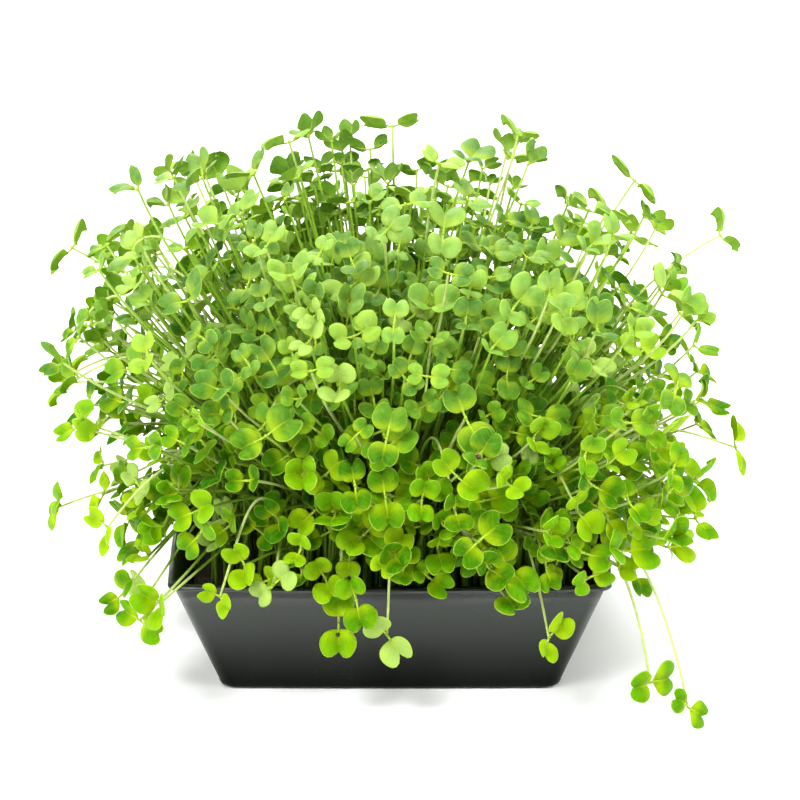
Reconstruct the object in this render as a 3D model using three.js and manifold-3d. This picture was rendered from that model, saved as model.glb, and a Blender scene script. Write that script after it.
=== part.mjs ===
// A square tray of seedlings, grown to their first pair of leaves.
// Millimetres, +Z up, the front faces -Y, the origin is the middle of the tray's underside.
import * as THREE from 'three';
import Module from 'manifold-3d';
import { mergeVertices } from 'three/addons/utils/BufferGeometryUtils.js';

const wasm = await Module();
wasm.setup();

// Tray: half widths are from its middle to the middle of a side
const RIM_HALF = 65;
const TRAY_HEIGHT = 39.3;
const WALL_SLANT = THREE.MathUtils.degToRad(20);
const WALL = 1.6;
const FLOOR = 1.8;
const LIP_OUT = 0.9;
const LIP_DROP = 1.6;
const FOOT_ROUND = 2.4;
const RIM_BOW = 1.7;
const FOOT_BOW = 0.3;
const RIM_CORNER = 5.5;
const FOOT_CORNER = 5;
const CORNER_STEPS = 4;
const SIDE_STEPS = 3;

// Growing medium and the root plugs that stand in it
const GAP = 0.3;
const SOIL_GAP = 0.7;
const SOIL_TOP = 30;
const PLUG_RADIUS = 3.6;
const PLUG_DEPTH = 8;
const PLUG_SIDES = 5;

// Planting: tufts spread over the soil, and their tips over a dome of foliage
const TUFTS = 49;
const ROOT_REACH = 52;
const STEM_RING = 1.3;
const GOLDEN_ANGLE = Math.PI * (3 - Math.sqrt(5));
const DOME_HALF_X = 94;
const DOME_FRONT = 82;
const DOME_BACK = 84;
const DOME_MIDDLE = 80;
const DOME_RISE = 70;
const DOME_EDGE = THREE.MathUtils.degToRad(120);
const DOME_SQUARENESS = 0.7;
const DOME_FULLNESS = 0.4;
const DOME_TALLER_LEFT = 0.09;
// The seedlings of a tuft: how deep in the dome each tip lies, and which way round its tuft
const SHELLS = [{ depth: 1, turn: 0 }, { depth: 0.86, turn: 1 }, { depth: 0.7, turn: -1 }];
const TIP_WANDER = 7;
const TRIES = 60;
const TURN_OF_TIP = 0.3;
const TURN_OF_ROOT = 2.1;
const FIRST_WANDER = 0.3;
const SEED = 2417;

// Stance: how a stem leans and how its leaves face, from a droop of 0 upright to 1 hanging
const EDGE_DROOP = 0.62;
const LEAN_UPRIGHT = THREE.MathUtils.degToRad(19);
const LEAN_HANGING = THREE.MathUtils.degToRad(172);
const RISE_SHARE = 0.42;
const END_SHARE = 0.35;
const ARCH = 48;
const TILT = THREE.MathUtils.degToRad(16);
const TILT_AT_EDGE = THREE.MathUtils.degToRad(34);
const TILT_OF_DROOP = THREE.MathUtils.degToRad(36);
const TILT_CHANCE = THREE.MathUtils.degToRad(24);
const OPEN = THREE.MathUtils.degToRad(4);
const OPEN_CHANCE = THREE.MathUtils.degToRad(26);

// Seedling
const STEM_RADIUS = 0.75;
const STEM_SIDES = 4;
const STEM_STEPS = [0, 0.35, 0.7];
const STEM_SUNK = 1;
const LEAF_WIDTH = 11;
const SIZE_LEAST = 0.82;
const SIZE_CHANCE = 0.36;
const LEAF_THICKNESS = 0.65;
const LEAF_FOLD = THREE.MathUtils.degToRad(12);
const STALK_HALF = 0.7;
// Half outline of a seed leaf from its stalk to the notch: along and across, in leaf widths
const LEAF_OUTLINE = [[0.42, 0.4], [0.74, 0.5], [0.98, 0.27]];
const LEAF_NOTCH = 0.86;

// Room that a seedling keeps round itself: leaves in leaf widths, stems in millimetres
const LEAF_ROOM = 0.52;
const LEAF_MIDDLE = 0.52;
const STEM_ROOM = 1.5;
const CHORD_SAMPLES = 11;

// Seedlings that stray far from the dome, by where their leaves end up
const STRAY_ROOT = 0.62;
const STRAY_WANDER = 3;
const STRAY_TURN = 0.5;
const STRAYS = [
  { at: [74, -73, 14], droop: 0.95 },
  { at: [85, -80, 8], droop: 0.95 },
  { at: [-15, -73, 33], droop: 0.9 },
  { at: [0, -74, 30], droop: 0.9 },
  { at: [46, -76, 29], droop: 0.9 },
  { at: [-33, -79, 46], droop: 0.7 },
  { at: [-76, -70, 40], droop: 0.7 },
  { at: [104, -17, 64], droop: 0.6 },
  { at: [103, 28, 117], droop: 0.3 },
  { at: [38, 20, 152], droop: 0 },
  { at: [76, 34, 133], droop: 0.1 },
  { at: [-99, -30, 50], droop: 0.6 },
  { at: [-98, 2, 78], droop: 0.5 },
  { at: [-99, 30, 112], droop: 0.3 },
];

const UP = new THREE.Vector3(0, 0, 1);

function finish(color, roughness) {
  return new THREE.MeshStandardMaterial({ color, roughness, metalness: 0 });
}

// Draws between 0 and 1 that are the same on every run
function seededDraws(seed) {
  let state = seed;
  return () => {
    state = (state * 48271) % 2147483647;
    return state / 2147483647;
  };
}

// Adds a flat face inside a ring, seen from where its points run anticlockwise
function addFan(skin, ring) {
  for (let k = 1; k < ring.length - 1; k += 1) {
    skin.push(ring[0], ring[k], ring[k + 1]);
  }
}

// Adds the strip of faces between two lines of equally many points, the first the lower
function addStrip(skin, low, high) {
  for (let k = 0; k < low.length - 1; k += 1) {
    skin.push(low[k], low[k + 1], high[k]);
    skin.push(low[k + 1], high[k + 1], high[k]);
  }
}

// Adds the faces round a stack of closed rings
function addRings(skin, rings) {
  for (let k = 0; k < rings.length - 1; k += 1) {
    addStrip(skin, [...rings[k], rings[k][0]], [...rings[k + 1], rings[k + 1][0]]);
  }
}

// The closed body inside a skin, which lists the corners of each of its triangles
function toSolid(skin) {
  const merged = mergeVertices(new THREE.BufferGeometry().setFromPoints(skin));
  return new wasm.Manifold(new wasm.Mesh({
    numProp: 3,
    vertProperties: new Float32Array(merged.attributes.position.array),
    triVerts: new Uint32Array(merged.index.array),
  }));
}

function toMesh(solid, name, material) {
  const { vertProperties, triVerts } = solid.getMesh();
  const geometry = new THREE.BufferGeometry();
  geometry.setAttribute('position', new THREE.BufferAttribute(vertProperties, 3));
  geometry.setIndex(new THREE.BufferAttribute(triVerts, 1));
  const mesh = new THREE.Mesh(geometry, material);
  mesh.name = name;
  return mesh;
}

// A body skinned over a stack of rings, with a flat face at each end
function skinRings(rings) {
  const skin = [];
  addFan(skin, [...rings[0]].reverse());
  addRings(skin, rings);
  addFan(skin, rings[rings.length - 1]);
  return toSolid(skin);
}

// Half the width of the tray's outer wall at a height
function outerHalf(height) {
  return RIM_HALF - (TRAY_HEIGHT - height) * Math.tan(WALL_SLANT);
}

// One level of the tray: a square with round corners and sides that bow outwards
function squareRing(half, height) {
  const rise = THREE.MathUtils.clamp(height / TRAY_HEIGHT, 0, 1);
  const corner = THREE.MathUtils.lerp(FOOT_CORNER, RIM_CORNER, rise);
  const bow = THREE.MathUtils.lerp(FOOT_BOW, RIM_BOW, rise);
  const straight = half - corner;
  const points = [];
  for (let side = 0; side < 4; side += 1) {
    const turn = side * Math.PI / 2;
    const place = (out, along) => points.push(
      new THREE.Vector3(out, along, height).applyAxisAngle(UP, turn),
    );
    for (let k = 0; k <= SIDE_STEPS; k += 1) {
      const along = straight * (2 * k / SIDE_STEPS - 1);
      place(half - bow * (along / straight) ** 2, along);
    }
    for (let k = 1; k < CORNER_STEPS; k += 1) {
      const angle = (k / CORNER_STEPS) * Math.PI / 2;
      const reach = corner - bow;
      place(straight + reach * Math.cos(angle), straight + reach * Math.sin(angle));
    }
  }
  return points;
}

function makeTray() {
  const lipFoot = TRAY_HEIGHT - LIP_DROP;
  const lipSlope = LIP_OUT / 2;
  return skinRings([
    squareRing(outerHalf(0) - FOOT_ROUND, 0),
    squareRing(outerHalf(0) - FOOT_ROUND / 3, FOOT_ROUND / 3),
    squareRing(outerHalf(FOOT_ROUND), FOOT_ROUND),
    squareRing(outerHalf(lipFoot), lipFoot),
    squareRing(outerHalf(lipFoot) + LIP_OUT, lipFoot + lipSlope),
    squareRing(RIM_HALF + LIP_OUT, TRAY_HEIGHT - lipSlope),
    squareRing(RIM_HALF + lipSlope, TRAY_HEIGHT),
    squareRing(RIM_HALF - WALL, TRAY_HEIGHT),
    squareRing(outerHalf(FLOOR + FOOT_ROUND) - WALL, FLOOR + FOOT_ROUND),
    squareRing(outerHalf(FLOOR) - WALL - FOOT_ROUND, FLOOR),
  ]);
}

// An upright prism that is a root plug, or the hole that it stands in
function plug(root, radius, bottom, top) {
  const rings = [bottom, top].map((height) => {
    const ring = [];
    for (let k = 0; k < PLUG_SIDES; k += 1) {
      const angle = k * 2 * Math.PI / PLUG_SIDES;
      ring.push(new THREE.Vector3(
        root.x + radius * Math.cos(angle),
        root.y + radius * Math.sin(angle),
        height,
      ));
    }
    return ring;
  });
  return skinRings(rings);
}

function makeMedium(roots) {
  const bottom = FLOOR + GAP;
  const inset = WALL + SOIL_GAP;
  let block = skinRings([
    squareRing(outerHalf(bottom) - inset - FOOT_ROUND, bottom),
    squareRing(outerHalf(FLOOR + FOOT_ROUND) - inset, FLOOR + FOOT_ROUND),
    squareRing(outerHalf(SOIL_TOP) - inset, SOIL_TOP),
  ]);
  roots.forEach((root) => {
    block = block.subtract(plug(root, PLUG_RADIUS + GAP, SOIL_TOP - PLUG_DEPTH - GAP, SOIL_TOP + 1));
  });
  return block;
}

// How far round the dome a tuft lies, from 0 at the top to 1 at the edge, and its bearing
function tuftPlace(tuft) {
  return { share: (tuft + 0.5) / TUFTS, bearing: tuft * GOLDEN_ANGLE };
}

// Stretches a round plan towards a square one
function squareStretch(bearing, squareness) {
  const wide = Math.max(Math.abs(Math.cos(bearing)), Math.abs(Math.sin(bearing)));
  return wide ** -squareness;
}

function tuftRoot(tuft) {
  const { share, bearing } = tuftPlace(tuft);
  const reach = ROOT_REACH * Math.sqrt(share) * squareStretch(bearing, 1);
  return new THREE.Vector3(reach * Math.cos(bearing), reach * Math.sin(bearing), SOIL_TOP);
}

// A point of the foliage dome, which has a depth of 1 on its surface
function domePoint(share, bearing, depth) {
  const lift = 1 - share * (1 - Math.cos(DOME_EDGE));
  const around = (1 - lift * lift) ** DOME_FULLNESS;
  const reach = depth * around * squareStretch(bearing, DOME_SQUARENESS);
  const x = DOME_HALF_X * reach * Math.cos(bearing);
  const y = (Math.sin(bearing) < 0 ? DOME_FRONT : DOME_BACK) * reach * Math.sin(bearing);
  return new THREE.Vector3(x, y, DOME_MIDDLE + DOME_RISE * lift * depth - DOME_TALLER_LEFT * x);
}

// The path of a stem: straight up out of the soil, then over to its tip
function stemCurve(root, tip, droop) {
  const reach = root.distanceTo(tip);
  const out = new THREE.Vector3(tip.x - root.x, tip.y - root.y, 0).normalize();
  const lean = THREE.MathUtils.lerp(LEAN_UPRIGHT, LEAN_HANGING, droop);
  const end = UP.clone().multiplyScalar(Math.cos(lean)).addScaledVector(out, Math.sin(lean));
  const start = root.clone().addScaledVector(UP, -STEM_SUNK);
  return new THREE.CubicBezierCurve3(
    start,
    start.clone().addScaledVector(UP, THREE.MathUtils.lerp(RISE_SHARE * reach, ARCH, droop)),
    tip.clone().addScaledVector(end, -THREE.MathUtils.lerp(END_SHARE * reach, ARCH, droop)),
    tip,
  );
}

// A seedling as it would stand: the curve of its stem and the way that its leaves face
function layOutSeedling(root, tip, droop, draw) {
  const out = new THREE.Vector3(tip.x, tip.y, 0).normalize();
  const spread = Math.min(1, Math.hypot(tip.x / DOME_HALF_X, tip.y / DOME_FRONT));
  const chance = TILT_CHANCE * (draw() - 0.5);
  const tilt = TILT + TILT_AT_EDGE * spread + TILT_OF_DROOP * droop + chance;
  const facing = UP.clone().multiplyScalar(Math.cos(tilt)).addScaledVector(out, Math.sin(tilt));
  const level = new THREE.Vector3().crossVectors(UP, out);
  const along = level.applyAxisAngle(facing, (draw() - 0.5) * Math.PI);
  const across = new THREE.Vector3().crossVectors(facing, along);
  const open = OPEN + OPEN_CHANCE * draw();
  const size = LEAF_WIDTH * (SIZE_LEAST + SIZE_CHANCE * draw());
  return { tip, curve: stemCurve(root, tip, droop), facing, along, across, open, size };
}

// The direction in which one leaf of a pair points, and the way that its face looks
function leafFrame({ along, facing, open }, side) {
  const axis = along.clone().multiplyScalar(side * Math.cos(open));
  axis.addScaledVector(facing, Math.sin(open));
  const face = facing.clone().multiplyScalar(Math.cos(open));
  face.addScaledVector(along, -side * Math.sin(open));
  return { axis, face };
}

// Balls that cover a seedling, for testing that it stands clear of others
function roomOf(seedling) {
  const balls = [];
  for (const side of [1, -1]) {
    const { axis } = leafFrame(seedling, side);
    const centre = seedling.tip.clone().addScaledVector(axis, LEAF_MIDDLE * seedling.size);
    balls.push({ centre, room: LEAF_ROOM * seedling.size, stem: false });
  }
  const path = [...STEM_STEPS, 1].map((step) => seedling.curve.getPoint(step));
  for (let k = 0; k < path.length - 1; k += 1) {
    for (let m = 0; m < CHORD_SAMPLES; m += 1) {
      const centre = path[k].clone().lerp(path[k + 1], m / CHORD_SAMPLES);
      balls.push({ centre, room: STEM_ROOM, stem: true });
    }
  }
  return balls;
}

// Whether a ball stands clear of the tray's wall and of the surface under it
function clearOfTray({ centre, room, stem }) {
  const half = outerHalf(centre.z);
  const wide = Math.max(Math.abs(centre.x), Math.abs(centre.y));
  const inside = wide + room < half - WALL - RIM_BOW;
  const outside = wide - room > half + LIP_OUT && centre.z > (stem ? room : room / 2);
  return centre.z - room > TRAY_HEIGHT || inside || outside;
}

function clearOfOthers(ball, tuft, planted) {
  return planted.every((other) => {
    const reach = ball.room + other.room;
    const kin = other.tuft === tuft && ball.stem && other.stem;
    return kin || ball.centre.distanceToSquared(other.centre) > reach * reach;
  });
}

// Tries a few stances near a tip until one stands clear, and plants that one
function plantNear(garden, tuft, turn, tip, wander, droop) {
  const { draw, tufts, planted } = garden;
  const bearing = tuftPlace(tuft).bearing + TURN_OF_ROOT * turn;
  const root = tuftRoot(tuft);
  root.x += STEM_RING * Math.cos(bearing);
  root.y += STEM_RING * Math.sin(bearing);
  for (let k = 0; k < TRIES; k += 1) {
    const shift = () => wander * 2 * (draw() - 0.5) * (FIRST_WANDER + k / TRIES);
    const place = new THREE.Vector3(tip.x + shift(), tip.y + shift(), tip.z + shift());
    const seedling = layOutSeedling(root, place, droop, draw);
    const balls = roomOf(seedling);
    if (balls.every((ball) => clearOfTray(ball) && clearOfOthers(ball, tuft, planted))) {
      balls.forEach((ball) => planted.push({ ...ball, tuft }));
      tufts[tuft].push(seedling);
      return;
    }
  }
}

// The tuft whose root lies under a stray's tip, drawn in towards the middle
function tuftUnder(tip) {
  const under = tip.clone().multiplyScalar(STRAY_ROOT).setZ(SOIL_TOP);
  let nearest = 0;
  for (let tuft = 1; tuft < TUFTS; tuft += 1) {
    if (tuftRoot(tuft).distanceTo(under) < tuftRoot(nearest).distanceTo(under)) {
      nearest = tuft;
    }
  }
  return nearest;
}

// Sows the whole tray: the strays first, then each shell of the dome from the outside in
function sowTray() {
  const garden = { draw: seededDraws(SEED), tufts: [], planted: [] };
  for (let tuft = 0; tuft < TUFTS; tuft += 1) {
    garden.tufts.push([]);
  }
  STRAYS.forEach(({ at, droop }) => {
    const tip = new THREE.Vector3(...at);
    plantNear(garden, tuftUnder(tip), STRAY_TURN, tip, STRAY_WANDER, droop);
  });
  SHELLS.forEach(({ depth, turn }) => {
    for (let tuft = 0; tuft < TUFTS; tuft += 1) {
      const { share, bearing } = tuftPlace(tuft);
      const tip = domePoint(share, bearing + TURN_OF_TIP * turn, depth);
      plantNear(garden, tuft, turn, tip, TIP_WANDER, EDGE_DROOP * share ** 2);
    }
  });
  return garden.tufts;
}

// The rings of a stem from its root up, each turned as the stalks of the leaves are
function stemRings({ curve, across }) {
  const reach = curve.v3.clone().sub(curve.v0);
  const side = new THREE.Vector3().crossVectors(UP, reach).normalize();
  const frontAt = (step) => new THREE.Vector3().crossVectors(curve.getTangent(step), side);
  const turn = Math.atan2(-across.dot(frontAt(1)), -across.dot(side));
  return STEM_STEPS.map((step) => {
    const ring = [];
    for (let k = 0; k < STEM_SIDES; k += 1) {
      const angle = turn + k * 2 * Math.PI / STEM_SIDES;
      const point = curve.getPoint(step).addScaledVector(side, STEM_RADIUS * Math.cos(angle));
      ring.push(point.addScaledVector(frontAt(step), STEM_RADIUS * Math.sin(angle)));
    }
    return ring;
  });
}

// The underside of the join between stem and stalks: one side, one leaf, the other side, the other leaf
function stalkRing({ tip, facing, along, across }) {
  const low = tip.clone().addScaledVector(facing, -LEAF_THICKNESS / 2);
  return [
    low.clone().addScaledVector(across, -STALK_HALF),
    low.clone().addScaledVector(along, STALK_HALF),
    low.clone().addScaledVector(across, STALK_HALF),
    low.clone().addScaledVector(along, -STALK_HALF),
  ];
}

// Adds one notched seed leaf, folded a little along its middle, and open at its stalk
function addLeaf(skin, seedling, side) {
  const { axis, face } = leafFrame(seedling, side);
  const { tip, facing, across, size } = seedling;
  const rim = (height) => {
    const stalk = (edge) => (
      tip.clone().addScaledVector(across, edge * side * STALK_HALF).addScaledVector(facing, height)
    );
    const place = ([along, wide]) => (
      tip.clone()
        .addScaledVector(axis, along * size)
        .addScaledVector(across, side * wide * size * Math.cos(LEAF_FOLD))
        .addScaledVector(face, height + Math.abs(wide) * size * Math.sin(LEAF_FOLD))
    );
    return {
      right: [stalk(-1), ...LEAF_OUTLINE.map(([along, wide]) => place([along, -wide]))],
      notch: place([LEAF_NOTCH, 0]),
      left: [...[...LEAF_OUTLINE].reverse().map(place), stalk(1)],
    };
  };
  const low = rim(-LEAF_THICKNESS / 2);
  const high = rim(LEAF_THICKNESS / 2);
  const underStalk = stalkRing(seedling)[side > 0 ? 1 : 3];
  addFan(skin, [high.notch, ...high.left, ...high.right]);
  addFan(skin, [low.notch, ...[...low.left, underStalk, ...low.right].reverse()]);
  addStrip(skin, [...low.right, low.notch, ...low.left], [...high.right, high.notch, ...high.left]);
}

// A whole seedling above its root, as one body
function seedlingSolid(seedling) {
  const rings = [...stemRings(seedling), stalkRing(seedling)];
  const skin = [];
  addFan(skin, [...rings[0]].reverse());
  addRings(skin, rings);
  addLeaf(skin, seedling, 1);
  addLeaf(skin, seedling, -1);
  return toSolid(skin);
}

// A tuft: its root plug with every stem and leaf that grows from it, as one body
function makeTuft(tuft, seedlings) {
  let body = plug(tuftRoot(tuft), PLUG_RADIUS, SOIL_TOP - PLUG_DEPTH, SOIL_TOP);
  seedlings.forEach((seedling) => {
    body = body.add(seedlingSolid(seedling));
  });
  return body;
}

const trayFinish = finish(0x33363a, 0.35);
const mediumFinish = finish(0x1d1712, 0.95);
const seedlingFinish = finish(0x7fae2c, 0.6);

const group = new THREE.Group();
const tufts = sowTray();
const roots = tufts.map((seedlings, tuft) => tuftRoot(tuft));
group.add(toMesh(makeTray(), 'tray', trayFinish));
group.add(toMesh(makeMedium(roots), 'growing_medium', mediumFinish));
tufts.forEach((seedlings, tuft) => {
  const name = `seedling_tuft_${String(tuft + 1).padStart(2, '0')}`;
  group.add(toMesh(makeTuft(tuft, seedlings), name, seedlingFinish));
});

export default group;
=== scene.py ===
"""A square tray of brassica seedlings, dressed for a plain white studio.

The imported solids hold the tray, the growing medium and one body for each tuft of seedlings.
This script sows the same crop again by the same rule, with fine leaves and stems in the same
places, and sows finer seedlings between them. Lengths are in millimetres until a mesh is made.
"""

import logging
import math
from dataclasses import dataclass, field
from enum import Enum
from typing import Callable, Iterable, Sequence

import bpy
import numpy as np
from mathutils import Matrix, Vector, noise

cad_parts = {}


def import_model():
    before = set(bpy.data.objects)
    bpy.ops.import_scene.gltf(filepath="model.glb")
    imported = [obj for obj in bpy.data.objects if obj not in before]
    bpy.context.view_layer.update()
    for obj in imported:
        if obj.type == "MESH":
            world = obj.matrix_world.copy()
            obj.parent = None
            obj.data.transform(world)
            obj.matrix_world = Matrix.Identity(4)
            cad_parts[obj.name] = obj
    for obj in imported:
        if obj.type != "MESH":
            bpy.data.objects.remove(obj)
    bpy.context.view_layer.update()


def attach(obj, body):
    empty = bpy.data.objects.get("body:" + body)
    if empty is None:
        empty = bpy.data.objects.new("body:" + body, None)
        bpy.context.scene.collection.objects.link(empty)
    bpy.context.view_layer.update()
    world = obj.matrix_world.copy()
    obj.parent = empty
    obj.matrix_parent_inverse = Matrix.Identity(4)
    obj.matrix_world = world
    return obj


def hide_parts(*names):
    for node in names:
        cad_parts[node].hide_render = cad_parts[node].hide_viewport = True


log = logging.getLogger("microgreens_tray")

MM = 0.001
UP = np.array([0.0, 0.0, 1.0])
GOLDEN_ANGLE = math.pi * (3 - math.sqrt(5))
BODY = "root"

BLADE_MAP = "Blade"
TONE_MAP = "Tone"
UNDERSIDE = 2.0

Colour = tuple[float, float, float, float]
Span = tuple[float, float]


def colour(red: int, green: int, blue: int) -> Colour:
    """Turns a screen colour into the linear one that a shader takes.

    Args:
        red: red from 0 to 255.
        green: green from 0 to 255.
        blue: blue from 0 to 255.

    Returns:
        The linear colour with full alpha.
    """
    def linear(value: int) -> float:
        """Returns one channel without its screen curve."""
        share = value / 255
        return share / 12.92 if share <= 0.04045 else ((share + 0.055) / 1.055) ** 2.4

    return linear(red), linear(green), linear(blue), 1.0


def unit(vector: np.ndarray) -> np.ndarray:
    """Returns the vector at a length of one."""
    return vector / np.linalg.norm(vector)


def lerp(low: float, high: float, share: float | np.ndarray) -> float | np.ndarray:
    """Returns the value that lies a share of the way from low to high."""
    return low + (high - low) * share


def clamped(value: float, most: float = 1.0) -> float:
    """Returns the value, kept from 0 to the most that it may be."""
    return min(most, max(0.0, value))


def turned(vector: np.ndarray, axis: np.ndarray, angle: float) -> np.ndarray:
    """Turns a vector about an axis.

    Args:
        vector: the vector to turn.
        axis: the axis, of length one.
        angle: the angle in radians.

    Returns:
        The turned vector.
    """
    across = np.cross(axis, vector)
    return (
        vector * math.cos(angle)
        + across * math.sin(angle)
        + axis * np.dot(axis, vector) * (1 - math.cos(angle))
    )


def add_object(name: str, data: bpy.types.ID) -> bpy.types.Object:
    """Puts a new object into the scene.

    Args:
        name: its name.
        data: its mesh, light or camera.

    Returns:
        The object.
    """
    made = bpy.data.objects.new(name, data)
    bpy.context.scene.collection.objects.link(made)
    return made


class Draws:
    """Draws between 0 and 1 that come out the same on every run."""

    STEP = 48271
    WRAP = 2147483647

    def __init__(self, seed: int) -> None:
        """Starts the draws.

        Args:
            seed: a whole number above 0.
        """
        self.state = seed

    def next(self) -> float:
        """Returns the next draw."""
        self.state = self.state * self.STEP % self.WRAP
        return self.state / self.WRAP

    def between(self, low: float, high: float) -> float:
        """Returns the next draw, spread from low to high."""
        return lerp(low, high, self.next())


@dataclass
class Skin:
    """The points, faces and surface maps that a piece's mesh is made from."""

    points: list[np.ndarray] = field(default_factory=list)
    faces: list[tuple[int, ...]] = field(default_factory=list)
    slots: list[int] = field(default_factory=list)
    blade: list[np.ndarray] = field(default_factory=list)
    tone: list[np.ndarray] = field(default_factory=list)
    count: int = 0

    def add(
        self,
        points: np.ndarray,
        faces: Iterable[Sequence[int]],
        slot: int = 0,
        blade: np.ndarray | None = None,
        tone: np.ndarray | None = None,
    ) -> None:
        """Adds one closed shape.

        Args:
            points: its points, one a row.
            faces: its faces, as numbers of its own points.
            slot: the material slot of the faces.
            blade: the place of each point on its blade or stem, two values a row.
            tone: the tone and the rim value of each point, two values a row.
        """
        first = self.count
        new_faces = [tuple(first + k for k in face) for face in faces]
        self.points.append(points)
        self.faces.extend(new_faces)
        self.slots.extend([slot] * len(new_faces))
        empty = np.zeros((len(points), 2))
        self.blade.append(empty if blade is None else blade)
        self.tone.append(empty if tone is None else tone)
        self.count += len(points)

    def piece(self, name: str, materials: Sequence[bpy.types.Material]) -> bpy.types.Object:
        """Makes the object.

        Args:
            name: the name of the piece.
            materials: the material of each slot.

        Returns:
            The object, smooth shaded, in metres.
        """
        mesh = bpy.data.meshes.new(name)
        points = np.concatenate(self.points) * MM
        mesh.from_pydata(points.tolist(), [], self.faces)
        for material in materials:
            mesh.materials.append(material)
        mesh.polygons.foreach_set("material_index", self.slots)
        mesh.polygons.foreach_set("use_smooth", [True] * len(mesh.polygons))
        corners = np.empty(len(mesh.loops), dtype=np.int32)
        mesh.loops.foreach_get("vertex_index", corners)
        for map_name, rows in ((BLADE_MAP, self.blade), (TONE_MAP, self.tone)):
            layer = mesh.uv_layers.new(name=map_name)
            layer.data.foreach_set("uv", np.concatenate(rows)[corners].ravel())
        mesh.validate()
        return add_object(name, mesh)


def ring_faces(rings: int, around: int) -> list[tuple[int, ...]]:
    """Lists the faces of a closed skin over a stack of rings.

    Args:
        rings: how many rings there are, each with its points anticlockwise from above.
        around: how many points a ring has.

    Returns:
        The faces between the rings, and one at each end.
    """
    faces: list[tuple[int, ...]] = [tuple(reversed(range(around)))]
    for ring in range(rings - 1):
        for k in range(around):
            low, low_next = ring * around + k, ring * around + (k + 1) % around
            faces.append((low, low_next, low_next + around, low + around))
    faces.append(tuple(range((rings - 1) * around, rings * around)))
    return faces


def flipped(faces: Iterable[Sequence[int]]) -> list[tuple[int, ...]]:
    """Returns the faces turned inside out."""
    return [tuple(reversed(face)) for face in faces]


def tube_points(centres: np.ndarray, ring: np.ndarray, radii: np.ndarray) -> np.ndarray:
    """Works out the points of a tube.

    Args:
        centres: the middle of each of its rings.
        ring: the directions round a ring, one set for all the rings or one for each.
        radii: the radius of each ring.

    Returns:
        The points, ring by ring.
    """
    return (centres[:, None, :] + ring * radii[:, None, None]).reshape(-1, 3)


def turns_round(steps: int) -> np.ndarray:
    """Returns the angles that split a full turn into even steps."""
    return 2 * math.pi * np.arange(steps) / steps


@dataclass(frozen=True)
class TrayShape:
    """The tray's driving dimensions, in millimetres."""

    rim_half: float = 65.0
    height: float = 39.3
    slant: float = math.radians(20)
    wall: float = 1.6
    floor: float = 1.8
    lip_out: float = 0.9
    lip_drop: float = 1.6
    foot_round: float = 2.4
    rim_bow: float = 1.7
    foot_bow: float = 0.3
    rim_corner: float = 5.5
    foot_corner: float = 5.0
    soil_top: float = 30.0
    soil_gap: float = 0.7

    def outer_half(self, height: float | np.ndarray) -> float | np.ndarray:
        """Returns half the width of the outer wall at a height."""
        return self.rim_half - (self.height - height) * math.tan(self.slant)

    def inner_half(self, height: float, gap: float = 0.0) -> float:
        """Returns half the width inside the wall at a height, less a gap."""
        return self.outer_half(height) - self.wall - gap

    def ring(self, half: float, height: float, side_steps: int, corner_steps: int) -> np.ndarray:
        """Works out one level of the tray, a square with round corners and bowed sides.

        Args:
            half: from the middle of the tray to the middle of a side.
            height: the level's height.
            side_steps: how many steps a side takes.
            corner_steps: how many steps a corner takes.

        Returns:
            The points of the level, anticlockwise from above.
        """
        rise = clamped(height / self.height)
        corner = lerp(self.foot_corner, self.rim_corner, rise)
        bow = lerp(self.foot_bow, self.rim_bow, rise)
        straight = half - corner
        side = []
        for k in range(side_steps + 1):
            along = straight * (2 * k / side_steps - 1)
            side.append((half - bow * (along / straight) ** 2, along))
        for k in range(1, corner_steps):
            angle = k / corner_steps * math.pi / 2
            reach = corner - bow
            side.append((straight + reach * math.cos(angle), straight + reach * math.sin(angle)))
        points = []
        for quarter in range(4):
            cos, sin = math.cos(quarter * math.pi / 2), math.sin(quarter * math.pi / 2)
            points += [(x * cos - y * sin, x * sin + y * cos, height) for x, y in side]
        return np.array(points)


@dataclass
class Seedling:
    """One seedling as it stands: its stem's path and the way that its two leaves face."""

    controls: np.ndarray
    facing: np.ndarray
    along: np.ndarray
    opening: float
    size: float
    droop: float

    @property
    def tip(self) -> np.ndarray:
        """Where the stem ends and the stalks of the leaves begin."""
        return self.controls[3]

    @property
    def across(self) -> np.ndarray:
        """The direction across both leaves."""
        return np.cross(self.facing, self.along)

    def leaf_frame(self, side: int) -> tuple[np.ndarray, np.ndarray]:
        """Works out how one leaf of the pair lies.

        Args:
            side: 1 for the first leaf, -1 for the other.

        Returns:
            The direction from stalk to tip, and the way that the leaf's face looks.
        """
        cos, sin = math.cos(self.opening), math.sin(self.opening)
        axis = self.along * side * cos + self.facing * sin
        face = self.facing * cos - self.along * side * sin
        return axis, face

    def stem_points(self, steps: np.ndarray) -> np.ndarray:
        """Works out points of the stem's path.

        Args:
            steps: how far along the stem they lie, from 0 to 1.

        Returns:
            The points.
        """
        t = steps[:, None]
        a, b, c, d = self.controls
        return (1 - t) ** 3 * a + 3 * (1 - t) ** 2 * t * b + 3 * (1 - t) * t * t * c + t**3 * d

    def stem_tangents(self, steps: np.ndarray) -> np.ndarray:
        """Works out which way the stem's path runs.

        Args:
            steps: how far along the stem, from 0 to 1.

        Returns:
            The direction at each step, of length one.
        """
        t = steps[:, None]
        a, b, c, d = self.controls
        slope = (1 - t) ** 2 * (b - a) + 2 * (1 - t) * t * (c - b) + t * t * (d - c)
        return slope / np.linalg.norm(slope, axis=1)[:, None]


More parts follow.
